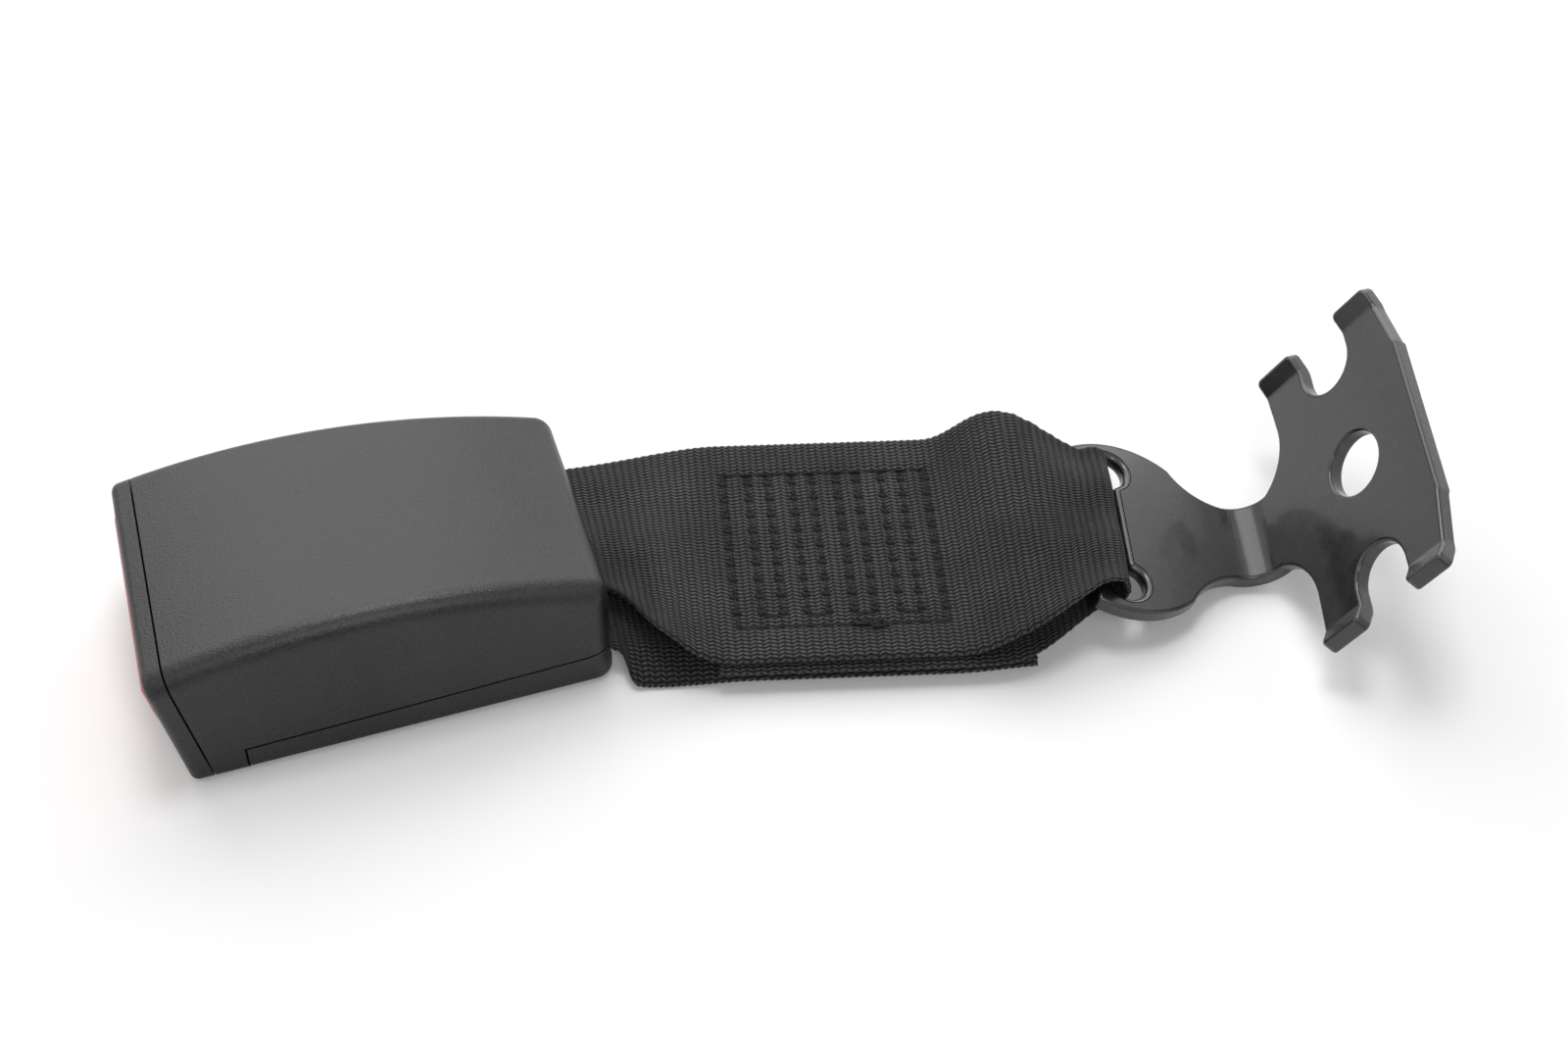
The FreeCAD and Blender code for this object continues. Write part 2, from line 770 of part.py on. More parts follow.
hollow_side = body_sketch(frame, "hollow_side", "XZ_Plane")
draw(hollow_side, [
    ("frame_front - plate_thick", "frame_floor + plate_thick"),
    ("tail_start - 1.5 * plate_thick", "frame_floor + plate_thick"),
    ("tail_start", "frame_floor + tail_rise + plate_thick"),
    ("tail_start", "frame_wall_top + plate_thick"),
    ("frame_front - plate_thick", "frame_wall_top + plate_thick"),
])
pocket(frame, "hollow", hollow_side, "frame_inner_width")

trim_plan = body_sketch(frame, "trim_plan", "XY_Plane")
for sign in ("", "-"):
    draw(trim_plan, [
        ("frame_front - plate_thick", sign + WALL_OUT),
        ("tail_start - plate_thick", sign + WALL_OUT),
        ("tail_start", sign + "tail_width"),
        ("frame_front - plate_thick", sign + "tail_width"),
    ])
pocket(frame, "side_trim", trim_plan, "4 * frame_wall_top")

windows = body_sketch(frame, "windows", "XY_Plane")
draw(windows, [
    (BAR_FRONT + " - belt_slot_opening", "-belt_slot_width / 2"),
    (BAR_FRONT, "-belt_slot_width / 2"),
    (BAR_FRONT, "belt_slot_width / 2"),
    (BAR_FRONT + " - belt_slot_opening", "belt_slot_width / 2"),
])
TOOTH_HALF = "(latch_tooth_width / 2 + plate_thick / 2)"
KEEL_HALF = "(ejector_keel / 2 + 2 * fit_gap)"
draw(windows, [
    ("latch_front - plate_thick", "-" + TOOTH_HALF),
    ("ejector_front - plate_thick / 2", "-" + TOOTH_HALF),
    ("ejector_front - plate_thick / 2", "-" + KEEL_HALF),
    ("ejector_front + ejector_length + ejector_travel + fit_gap", "-" + KEEL_HALF),
    ("ejector_front + ejector_length + ejector_travel + fit_gap", KEEL_HALF),
    ("ejector_front - plate_thick / 2", KEEL_HALF),
    ("ejector_front - plate_thick / 2", TOOTH_HALF),
    ("latch_front - plate_thick", TOOTH_HALF),
])
pocket(frame, "plate_windows", windows, "4 * frame_wall_top")

pin_ways = body_sketch(frame, "pin_ways", "XZ_Plane")
ring(pin_ways, "pivot_x", "pivot_z", "pivot_radius + pivot_clearance")
SLOT_REACH = "(lock_pin_radius + 2 * fit_gap)"
draw(pin_ways, [
    ("lock_pin_x", LOCK_Z + " - " + SLOT_REACH),
    ("lock_pin_x + button_travel", LOCK_Z + " - " + SLOT_REACH),
    ("lock_pin_x + button_travel", LOCK_Z + " + " + SLOT_REACH),
    ("lock_pin_x", LOCK_Z + " + " + SLOT_REACH),
], {1: (SLOT_REACH + " * 1.001", -1), 3: (SLOT_REACH + " * 1.001", -1)})
pocket(frame, "pin_slots", pin_ways, "4 * tail_width")

tab_side = body_sketch(frame, "tab_side", "XZ_Plane")
draw(tab_side, [
    ("bridge_x - tab_length / 2", "frame_wall_top - plate_thick"),
    ("bridge_x + tab_length / 2", "frame_wall_top - plate_thick"),
    ("bridge_x + tab_length / 2", "frame_wall_top + bridge_thick"),
    ("bridge_x - tab_length / 2", "frame_wall_top + bridge_thick"),
])
pad(frame, "tabs", tab_side, "frame_inner_width + 2 * plate_thick")
tab_gap = body_sketch(frame, "tab_gap", "XZ_Plane")
draw(tab_gap, [
    ("bridge_x - tab_length", "frame_floor + 2 * plate_thick"),
    ("bridge_x + tab_length", "frame_floor + 2 * plate_thick"),
    ("bridge_x + tab_length", "frame_wall_top + 2 * bridge_thick"),
    ("bridge_x - tab_length", "frame_wall_top + 2 * bridge_thick"),
])
pocket(frame, "between_tabs", tab_gap, "frame_inner_width")
keep("frame_channel", frame)

bridge_plate = block(
    "bridge_plate",
    ("bridge_x - bridge_length / 2", "-" + WALL_OUT, "frame_wall_top"),
    ("bridge_x + bridge_length / 2", WALL_OUT, "frame_wall_top + bridge_thick"),
)


def tab_hole(name, side):
    """Make the notch in the bridge for one staked tab of the frame."""
    low = "frame_inner_width / 2 - fit_gap"
    high = WALL_OUT + " + fit_gap"
    first, second = (low, high) if side > 0 else ("-(%s)" % high, "-(%s)" % low)
    return block(
        name,
        ("bridge_x - tab_length / 2 - fit_gap", first, "frame_wall_top - plate_thick"),
        ("bridge_x + tab_length / 2 + fit_gap", second, "frame_wall_top + 2 * bridge_thick"),
    )


keep("frame_bridge", cut("frame_bridge", bridge_plate,
                         [tab_hole("tab_hole_left", 1), tab_hole("tab_hole_right", -1)]))

# Latch on its pivot pin

latch = doc.addObject("PartDesign::Body", "latch")
latch_side = body_sketch(latch, "latch_side", "XZ_Plane")
draw(latch_side, [
    ("latch_front", "latch_top - plate_thick"),
    ("pivot_x", "latch_top - plate_thick"),
    ("pivot_x", "latch_top"),
    ("latch_front", "latch_top"),
])
pad(latch, "arm", latch_side, "latch_width")
knuckle_side = body_sketch(latch, "knuckle_side", "XZ_Plane")
ring(knuckle_side, "pivot_x", "pivot_z", "latch_knuckle")
pad(latch, "knuckle", knuckle_side, "latch_width")
tooth_side = body_sketch(latch, "tooth_side", "XZ_Plane")
draw(tooth_side, [
    ("latch_front", "latch_tooth_bottom"),
    ("latch_front + latch_tooth_length", "latch_tooth_bottom"),
    ("latch_front + latch_tooth_length", "latch_top"),
    ("latch_front", "latch_top"),
])
pad(latch, "tooth", tooth_side, "latch_tooth_width")
spring_room = body_sketch(latch, "spring_room", "XZ_Plane")
draw(spring_room, [
    ("pivot_x - latch_knuckle - plate_thick / 5", "latch_top - 3 * plate_thick"),
    ("pivot_x + 2 * latch_knuckle", "latch_top - 3 * plate_thick"),
    ("pivot_x + 2 * latch_knuckle", "latch_top + 3 * plate_thick"),
    ("pivot_x - latch_knuckle - plate_thick / 5", "latch_top + 3 * plate_thick"),
])
pocket(latch, "spring_gap", spring_room, "latch_spring_gap")
pivot_eye = body_sketch(latch, "pivot_eye", "XZ_Plane")
ring(pivot_eye, "pivot_x", "pivot_z", "pivot_radius + pivot_clearance")
pocket(latch, "pivot_bore", pivot_eye, "2 * latch_width")
keep("latch", latch)

PIVOT_HALF = "(frame_inner_width / 2 + plate_thick + 3 * clip_thick)"
keep("latch_pivot_pin", rod("latch_pivot_pin", "y", ("pivot_x", "pivot_z"), "pivot_radius",
                            "-" + PIVOT_HALF, PIVOT_HALF))


def clip(name, side):
    """Make one retaining clip beside the frame wall."""
    low = WALL_OUT + " + fit_gap"
    high = WALL_OUT + " + fit_gap + clip_thick"
    first, second = (low, high) if side > 0 else ("-(%s)" % high, "-(%s)" % low)
    disc = rod(name + "_disc", "y", ("pivot_x", "pivot_z"), "clip_radius", first, second)
    bore = rod(name + "_bore", "y", ("pivot_x", "pivot_z"), "pivot_radius", first, second)
    slot = block(
        name + "_slot",
        ("pivot_x - pivot_radius * 0.7", first, "pivot_z - 2 * clip_radius"),
        ("pivot_x + pivot_radius * 0.7", second, "pivot_z"),
    )
    return cut(name, disc, [bore, slot])


keep("pivot_clips", join("pivot_clips", [clip("clip_left", 1), clip("clip_right", -1)]))


def coil(radius, wire, turns, length):
    """Make a coil spring along +Z from the origin, its wire drawn with eight flats."""
    rise = length - wire
    flats = int(size("spring_wire_flats"))
    helix = Part.makeHelix(rise / turns, rise, radius)
    corners = []
    for index in range(flats):
        angle = math.pi * (2 * index + 1) / flats
        corners.append(Vector(radius + wire / 2 * math.cos(angle), 0, wire / 2 * math.sin(angle)))
    profile = Part.makePolygon(corners + [corners[0]])
    spring = Part.Wire(helix.Edges).makePipeShell([profile], True, True)
    spring.translate(Vector(0, 0, wire / 2))
    return spring


def place(shape, base, direction):
    """Turn a shape made along +Z to a direction and move it to its base."""
    turned = shape.copy()
    turn = FreeCAD.Rotation(Vector(0, 0, 1), direction)
    turned.Placement = FreeCAD.Placement(base, turn).multiply(shape.Placement)
    return turned


latch_spring_length = size("latch_spring_gap") - 4 * size("fit_gap")
latch_coil = coil(
    size("pivot_radius") + size("latch_spring_wire"),
    size("latch_spring_wire"), size("latch_spring_turns"), latch_spring_length,
)
latch_base = Vector(size("pivot_x"), -latch_spring_length / 2, size("pivot_z"))
keep("latch_spring", solid_feature("latch_spring", place(latch_coil, latch_base, Vector(0, 1, 0))))

# Ejector with its spring against the riser of the frame

ejector_block = block(
    "ejector_block",
    ("ejector_front", "-ejector_width / 2", WAY_BOTTOM + " + 2 * fit_gap"),
    ("ejector_front + ejector_length", "ejector_width / 2", WAY_BOTTOM + " + ejector_height"),
)
ejector_keel = block(
    "ejector_keel_block",
    ("ejector_front", "-ejector_keel / 2", "frame_floor"),
    ("ejector_front + ejector_length", "ejector_keel / 2", WAY_BOTTOM + " + plate_thick / 2"),
)
keep("ejector", join("ejector", [ejector_block, ejector_keel]))

EJECTOR_REAR = "ejector_front + ejector_length"
ejector_spring_start = value(EJECTOR_REAR) + size("fit_gap")
ejector_spring_end = size("tail_start") - 1.5 * size("plate_thick")
ejector_coil = coil(
    size("ejector_spring_radius"), size("ejector_spring_wire"), size("ejector_spring_turns"),
    ejector_spring_end - ejector_spring_start,
)
ejector_spring_z = value(WAY_BOTTOM) + size("ejector_spring_radius") + 3 * size("fit_gap")
ejector_spring_base = Vector(ejector_spring_start, 0, ejector_spring_z + size("fit_gap"))
keep("ejector_spring", solid_feature(
    "ejector_spring", place(ejector_coil, ejector_spring_base, Vector(1, 0, 0))))

# Return springs of the button

spring_start = size("button_arm_end") + size("fit_gap")
spring_length = size("spring_seat_x") - size("fit_gap") - spring_start
for side, name in ((1, "button_spring_left"), (-1, "button_spring_right")):
    button_coil = coil(
        size("button_spring_radius"), size("button_spring_wire"), size("button_spring_turns"),
        spring_length,
    )
    across = side * (value(ARM_IN) + value(ARM_OUT)) / 2
    base = Vector(spring_start, across, value(SPRING_Z))
    keep(name, solid_feature(name, place(button_coil, base, Vector(1, 0, 0))))

# Strap: one strip that loops the frame's bar and the bracket's bar and is sewn between them


def tangents(stations):
    """Give smooth slopes for a list of (distance, number) stations; a level stretch stays level."""
    slopes = []
    for index, (place, number) in enumerate(stations):
        near = stations[max(index - 1, 0):index + 2]
        rise = (near[-1][1] - near[0][1]) / (near[-1][0] - near[0][0])
        level = any(other == number for where, other in near if where != place)
        slopes.append(0.0 if level else rise)
    return slopes


def smooth(stations, distance):
    """Interpolate a smooth curve through (distance, number) stations."""
    slopes = tangents(stations)
    last = len(stations) - 2
    index = max(i for i in range(last + 1) if i == 0 or distance >= stations[i][0])
    (low, first), (high, second) = stations[index], stations[index + 1]
    width = high - low
    t = min(max((distance - low) / width, 0.0), 1.0)
    rise = (2 * t**3 - 3 * t**2 + 1) * first + (3 * t**2 - 2 * t**3) * second
    lean = (t**3 - 2 * t**2 + t) * slopes[index] + (t**3 - t**2) * slopes[index + 1]
    return rise + lean * width


REACH = size("strap_reach")
PLY = size("strap_thick")
PITCH = size("strap_ply_pitch")
LOOP = size("strap_loop_radius")
EASE = size("exit_ease")
AT_BAR = 0.0
AT_EXIT = size("strap_exit")
AT_SEAM = size("seam_begin")
AT_SEAM_END = size("seam_end")
AT_BULGE = size("strap_bulge")

bar_height = size("frame_floor") + size("tail_rise") + size("plate_thick") / 2
heights = [(AT_BAR, bar_height), (AT_EXIT, bar_height - EASE), (AT_SEAM, size("seam_height")),
           (AT_SEAM_END, size("seam_height")), (AT_BULGE, size("bulge_height")),
           (REACH, size("slot_height"))]
rolls = [(AT_BAR, 0.0), (AT_EXIT, size("seam_roll") / 4), (AT_SEAM, size("seam_roll")),
         (AT_SEAM_END, size("seam_roll")), (AT_BULGE, size("bulge_roll")),
         (REACH, size("slot_roll"))]
twists = [(AT_BAR, 0.0), (AT_EXIT, size("seam_twist") / 3), (AT_SEAM, size("seam_twist")),
          (AT_SEAM_END, size("seam_twist")), (REACH, size("slot_twist"))]
widths = [(AT_BAR, size("strap_neck_width")), (AT_EXIT, size("strap_port_entry_width")),
          (AT_SEAM, size("strap_width")), (AT_SEAM_END, size("strap_width")),
          (AT_BULGE, size("strap_bulge_width")), (REACH, size("strap_slot_width"))]
top_offsets = [(AT_BAR, LOOP), (AT_EXIT, LOOP - EASE), (AT_SEAM, PITCH), (AT_SEAM_END, PITCH),
               (AT_BULGE, size("bulge_lift")), (REACH, LOOP)]
mid_offsets = [(AT_BAR, 0.0), (AT_SEAM, 0.0), (AT_SEAM_END, 0.0), (AT_BULGE, -LOOP / 2),
               (REACH, -LOOP)]
low_offsets = [(AT_BAR, -LOOP), (AT_EXIT, -LOOP), (AT_SEAM, -PITCH), (AT_SEAM_END, -PITCH),
               (AT_BULGE, -LOOP), (REACH, -2 * LOOP)]
low_droops = [(AT_BAR, 0.0), (AT_EXIT, 0.0), (AT_SEAM, size("edge_droop")),
              (AT_SEAM_END, size("edge_droop")), (REACH, size("edge_droop"))]
no_droops = [(AT_BAR, 0.0), (REACH, 0.0)]

strap_bearing = math.radians(-size("strap_yaw"))
strap_heading = Vector(math.cos(strap_bearing), math.sin(strap_bearing), 0)


def strap_middle(distance):
    """Give the middle of the strap at a distance from the frame's bar."""
    start = Vector(size("belt_bar_x"), 0, 0)
    return start + strap_heading * distance + Vector(0, 0, smooth(heights, distance))


def strap_across(distance):
    """Give the direction across the strap, from its near to its far edge."""
    twist = math.radians(smooth(twists, distance))
    roll = math.radians(smooth(rolls, distance))
    level = math.cos(roll)
    return Vector(math.sin(twist) * level, math.cos(twist) * level, math.sin(roll))


def strap_normal(distance):
    """Give the direction out of the upper face of the strap."""
    step = 0.5
    low = max(distance - step, AT_BAR)
    high = min(distance + step, REACH)
    along = strap_middle(high) - strap_middle(low)
    return along.cross(strap_across(distance)).normalize()


def strip_section(centre, across, outward, width, droop, down):
    """Give the closed outline of the strip at one place, drooping at its near edge."""
    hem = -(size("stitch_box_width") / 2 + size("hem_margin")) / width
    stations = [(-0.5, droop), (hem, 0.0), (0.5, 0.0)]
    line = [centre + across * (width * share) + down * fall for share, fall in stations]
    half = outward * (PLY / 2)
    points = [point + half for point in line] + [point - half for point in reversed(line)]
    return Part.makePolygon(points + [points[0]])


def lane_sections(first, last, count, offsets, droops, upper):
    """Give sections along one layer of the strap between two distances."""
    sections = []
    for index in range(count):
        distance = first + (last - first) * index / (count - 1)
        normal = strap_normal(distance)
        centre = strap_middle(distance) + normal * smooth(offsets, distance)
        outward = normal if upper else normal * -1
        sections.append(strip_section(
            centre, strap_across(distance), outward, smooth(widths, distance),
            smooth(droops, distance), normal * -1))
    return sections


def loop_sections(distance, first, last, count):
    """Give sections round one bar, between two angles from the strap's own direction."""
    across = strap_across(distance)
    normal = strap_normal(distance)
    along = across.cross(normal)
    sections = []
    for index in range(1, count):
        angle = math.radians(first + (last - first) * index / count)
        outward = along * math.cos(angle) + normal * math.sin(angle)
        centre = strap_middle(distance) + outward * LOOP
        sections.append(strip_section(
            centre, across, outward, smooth(widths, distance), 0.0, normal * -1))
    return sections


strip = lane_sections(size("tail_end"), AT_BAR, 21, low_offsets, low_droops, False)
strip += loop_sections(AT_BAR, 270, 90, 8)
strip += lane_sections(AT_BAR, REACH, 27, top_offsets, no_droops, True)
strip += loop_sections(REACH, 90, -90, 8)
strip += lane_sections(REACH, size("inner_end"), 17, mid_offsets, no_droops, False)
keep("webbing", solid_feature("webbing", Part.makeLoft(strip, True, True)))


def stitch_bars(name, offsets, side):
    """Lay the crosswise rows of sewing on one face of the seam."""
    box = size("stitch_box_length")
    rows = int(size("stitch_rows"))
    begin = (AT_SEAM + AT_SEAM_END - box) / 2
    half = size("stitch_box_width") / 2
    bars = []
    for index in range(rows):
        distance = begin + box * index / (rows - 1)
        normal = strap_normal(distance)
        across = strap_across(distance)
        lift = smooth(offsets, distance)
        lift += side * (PLY / 2 + size("thread_gap") + size("thread_height") / 2)
        centre = strap_middle(distance) + normal * lift
        along = across.cross(normal)
        bar = Part.makeBox(size("thread_width"), 2 * half, size("thread_height"))
        bar.translate(Vector(-size("thread_width") / 2, -half, -size("thread_height") / 2))
        bar.Placement = FreeCAD.Placement(
            centre, FreeCAD.Rotation(along, across, normal, "XYZ")).multiply(bar.Placement)
        bars.append(bar)
    return solid_feature(name, Part.makeCompound(bars))


keep("stitch_rows_top", stitch_bars("stitch_rows_top", top_offsets, 1))
keep("stitch_rows_under", stitch_bars("stitch_rows_under", low_offsets, -1))

# Floor bracket: a slotted eye, a bent neck and a head with four turned-up prongs

HALF_T = "bracket_thick / 2"
eye_corner = "sqrt(eye_radius ^ 2 - (eye_end - eye_centre) ^ 2)"
NECK_HALF = "bracket_neck_width / 2"
eye_turn_x = "-eye_centre + eye_radius * cos(eye_turn_angle * 1 deg)"
eye_turn_y = "eye_radius * sin(eye_turn_angle * 1 deg)"
eye_sheet = prism(
    "eye_sheet", "XY",
    [("-eye_end", "-" + eye_corner), (eye_turn_x, "-" + eye_turn_y), ("-neck_length", "-" + NECK_HALF),
     ("bend_radius", "-" + NECK_HALF), ("bend_radius", NECK_HALF), ("-neck_length", NECK_HALF),
     (eye_turn_x, eye_turn_y), ("-eye_end", eye_corner)],
    "-2 * bracket_thick", "2 * bend_radius",
    {0: ("eye_radius", -1), 1: ("neck_blend_radius", 1), 5: ("neck_blend_radius", 1),
     6: ("eye_radius", -1)},
)

LEAN = "(bracket_bend * 1 deg)"
BEND_RUN = "(bend_radius * tan(bracket_bend / 2 * 1 deg))"


def head_point(along, out):
    """Give a point of the side view by its distance up the head and out of its face."""
    across = "(%s) * cos%s - (%s) * sin%s" % (along, LEAN, out, LEAN)
    level = "(%s) * sin%s + (%s) * cos%s" % (along, LEAN, out, LEAN)
    return across, level


FAR_ALONG = "3 * bolt_hole_height"
bracket_side = prism(
    "bracket_side", "XZ",
    [("-2 * eye_end", "-" + HALF_T), ("-" + BEND_RUN, "-" + HALF_T),
     head_point(BEND_RUN, "-" + HALF_T), head_point(FAR_ALONG, "-" + HALF_T),
     head_point(FAR_ALONG, HALF_T), head_point(BEND_RUN, HALF_T),
     ("-" + BEND_RUN, HALF_T), ("-2 * eye_end", HALF_T)],
    "-2 * eye_radius", "2 * eye_radius",
    {1: ("bend_radius + " + HALF_T, -1), 5: ("bend_radius - " + HALF_T, 1)},
)

# The head is drawn flat, up the head from the bend and across it, then stood up with the sheet

SHOULDER = "shoulder_width / 2"


def level_of(place):
    """Give the distance up the head of a place measured from the bolt hole."""
    return "bolt_hole_height + (%s)" % place


head_half = [
    (level_of("head_top"), "head_edge_width / 2"),
    (level_of("head_top - head_step"), "head_edge_width / 2"),
    (level_of("outer_prong_high"), "prong_bend"),
    (level_of("outer_prong_low"), "prong_bend"),
    (level_of("notch_level + notch_radius"), "notch_offset"),
    (level_of("notch_level - notch_radius"), "notch_offset"),
    (level_of("inner_prong_high"), "prong_bend"),
    (level_of("inner_prong_low"), "prong_bend"),
    (level_of("inner_prong_low + head_step"), SHOULDER),
    (BEND_RUN + " + neck_length / 2", NECK_HALF),
    ("0", NECK_HALF),
]
head_outline = head_half + [(along, "-(%s)" % across) for along, across in reversed(head_half)]
head_arcs = {
    4: ("notch_radius * 1.0001", 1),
    8: ("neck_blend_radius * 0.8", 1),
    12: ("neck_blend_radius * 0.8", 1),
    16: ("notch_radius * 1.0001", 1),
}
head_sheet = prism("head_sheet", "XY", head_outline, "-2 * bracket_thick", "2 * bracket_thick", head_arcs)
head_lean = FreeCAD.Rotation(Vector(0, 1, 0), -size("bracket_bend"))
head_sheet.Placement = FreeCAD.Placement(Vector(), head_lean)
blank = join("bracket_blank", [eye_sheet, head_sheet])
bracket_flat = meet("bracket_flat", bracket_side, blank)


def prong_tip(name, side, low, high):
    """Make one prong tip, turned towards the face of the head about its bend line."""
    tip = block(
        name,
        (low, "0", "-" + HALF_T),
        (high, "prong_length", HALF_T),
    )
    knee = rod(name + "_knee", "x", ("0", "0"), HALF_T, low, high)
    turned = join(name + "_turned", [tip, knee])
    turn = FreeCAD.Rotation(Vector(1, 0, 0), side * size("prong_angle"))
    flip = FreeCAD.Rotation(Vector(1, 0, 0), 0 if side > 0 else 180)
    bend_line = Vector(size("bolt_hole_height"), side * size("prong_bend"), 0)
    turned.Placement = FreeCAD.Placement(
        head_lean.multVec(bend_line), head_lean.multiply(turn).multiply(flip))
    return turned


tips = []
for side, mark in ((1, "far"), (-1, "near")):
    tips.append(prong_tip("outer_tip_" + mark, side, "outer_prong_low", "outer_prong_high"))
    tips.append(prong_tip("inner_tip_" + mark, side, "inner_prong_low", "inner_prong_high"))

bolt_cut = doc.addObject("Part::Cylinder", "bolt_cut")
bolt_cut.setExpression("Radius", cell("bolt_hole_radius"))
bolt_cut.setExpression("Height", cell("4 * bracket_thick"))
hole_base = Vector(size("bolt_hole_height"), 0, -2 * size("bracket_thick"))
bolt_cut.Placement = FreeCAD.Placement(head_lean.multVec(hole_base), head_lean)

SLOT_FAR = "-eye_end + anchor_bar_width"
slot_waist = block(
    "slot_waist",
    (SLOT_FAR, "-anchor_slot_half", "-2 * bracket_thick"),
    (SLOT_FAR + " + anchor_slot_opening", "anchor_slot_half", "2 * bracket_thick"),
)
lobes = [
    rod("lobe_" + mark, "z", ("-lobe_centre", sign + "lobe_spread / 2"), "lobe_radius",
        "-2 * bracket_thick", "2 * bracket_thick")
    for mark, sign in (("far", ""), ("near", "-"))
]
bar_guard = block(
    "bar_guard",
    ("-2 * eye_end", "-eye_radius", "-2 * bracket_thick"),
    (SLOT_FAR, "eye_radius", "2 * bracket_thick"),
)
slot_open = cut("slot_open", join("slot_shape", [slot_waist] + lobes), [bar_guard])
bracket_solid = join("bracket_solid", [bracket_flat] + tips)
anchor = cut("anchor_bracket", bracket_solid, [bolt_cut, slot_open])
across_end = strap_across(REACH)
pitch = math.radians(size("bracket_pitch"))
level_along = across_end.cross(Vector(0, 0, 1)).normalize()
rise_axis = across_end.cross(level_along).normalize()
along_end = (level_along * math.cos(pitch) + rise_axis * math.sin(pitch)).normalize()
anchor_turn = FreeCAD.Rotation(along_end, across_end, along_end.cross(across_end), "XYZ")
bar_place = strap_middle(REACH)
bar_local = Vector(-size("eye_end") + size("anchor_bar_width") / 2, 0, 0)
anchor.Placement = FreeCAD.Placement(bar_place - anchor_turn.multVec(bar_local), anchor_turn)
keep("anchor_bracket", anchor)

# Checks, then one file for each piece

doc.recompute()
for item in doc.Objects:
    if "Invalid" in item.State or "Error" in item.State:
        raise RuntimeError("failed feature: " + item.Name)
for name, piece in nodes.items():
    if piece.Shape.isNull() or not piece.Shape.isValid():
        raise RuntimeError("bad shape: " + name)

os.makedirs("parts", exist_ok=True)
for name, piece in nodes.items():
    piece.Shape.exportStep("parts/%s.step" % name)
    print("%-20s %2d solids %9.1f mm3" % (name, len(piece.Shape.Solids), piece.Shape.Volume))
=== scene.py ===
"""The finished look of a seat belt buckle on its short sewn strap, with its floor bracket.

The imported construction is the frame. Each piece made here stands in that frame. Sizes are in
millimetres and angles in degrees, and a mesh becomes metres when it is made. The strap, its
sewing and the bracket are built anew; the housing and what it holds keep their own shapes and
get their finishes.
"""

import json
import logging
import math
import random
from dataclasses import dataclass, field
from enum import Enum

import bpy
from mathutils import Matrix, Vector
from mathutils.geometry import delaunay_2d_cdt


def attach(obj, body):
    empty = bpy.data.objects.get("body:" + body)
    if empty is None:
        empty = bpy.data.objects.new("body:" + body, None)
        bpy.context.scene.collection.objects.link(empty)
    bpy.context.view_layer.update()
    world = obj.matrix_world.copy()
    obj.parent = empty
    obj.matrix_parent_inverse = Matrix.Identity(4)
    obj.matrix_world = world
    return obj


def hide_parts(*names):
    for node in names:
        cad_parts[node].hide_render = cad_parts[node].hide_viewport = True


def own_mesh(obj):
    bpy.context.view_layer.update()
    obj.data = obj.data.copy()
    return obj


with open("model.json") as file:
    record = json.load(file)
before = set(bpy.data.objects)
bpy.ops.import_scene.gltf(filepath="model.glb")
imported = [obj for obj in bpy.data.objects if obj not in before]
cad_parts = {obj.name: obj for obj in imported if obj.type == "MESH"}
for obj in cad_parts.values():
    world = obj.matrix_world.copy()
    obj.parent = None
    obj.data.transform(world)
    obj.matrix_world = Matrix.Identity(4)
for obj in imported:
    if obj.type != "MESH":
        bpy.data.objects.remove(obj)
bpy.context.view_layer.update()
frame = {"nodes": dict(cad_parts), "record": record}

MM = 0.001
WEAVE_MAP = "weave"
PULL_LAYER = "pull"
LOG = logging.getLogger("buckle")

Stations = tuple[tuple[float, float], ...]
Face = tuple[int, ...]
Colour = tuple[float, float, float]
Place = tuple[float, float, float]
Source = bpy.types.NodeSocket | float | tuple[float, ...]


class Body(Enum):
    """The moving bodies that the new pieces ride on."""

    HOUSING = "housing"
    STRAP = "strap"
    BRACKET = "bracket"


class Slot(Enum):
    """The record's material slots."""

    COVER = "cover_plastic"
    GUIDE = "guide_plastic"
    BUTTON = "button_plastic"
    FRAME = "frame_steel"
    PIN = "pin_steel"
    SPRING = "spring_steel"
    COATED = "coated_steel"
    WEBBING = "webbing_black"
    THREAD = "thread_dark"


class Lane(Enum):
    """The three layers of the strap, between the buckle and the bracket."""

    TOP = "top"
    MIDDLE = "middle"
    LOW = "low"


# Meshes


def make_piece(
    name: str,
    points: list[Vector],
    faces: list[Face],
    materials: list[bpy.types.Material],
    body: Body,
) -> bpy.types.Object:
    """Make one smooth-shaded piece from points in millimetres.

    Args:
        name: The piece's name.
        points: Its corners, in millimetres.
        faces: Its faces, as indices into the points.
        materials: Its materials, the first of them for every face.
        body: The body that it rides on.

    Returns:
        The new object.
    """
    mesh = bpy.data.meshes.new(name)
    mesh.from_pydata([point * MM for point in points], [], faces)
    mesh.validate()
    mesh.polygons.foreach_set("use_smooth", [True] * len(mesh.polygons))
    for material in materials:
        mesh.materials.append(material)
    piece = bpy.data.objects.new(name, mesh)
    bpy.context.scene.collection.objects.link(piece)
    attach(piece, body.value)
    LOG.info("%s: %d points, %d faces", name, len(mesh.vertices), len(mesh.polygons))
    return piece


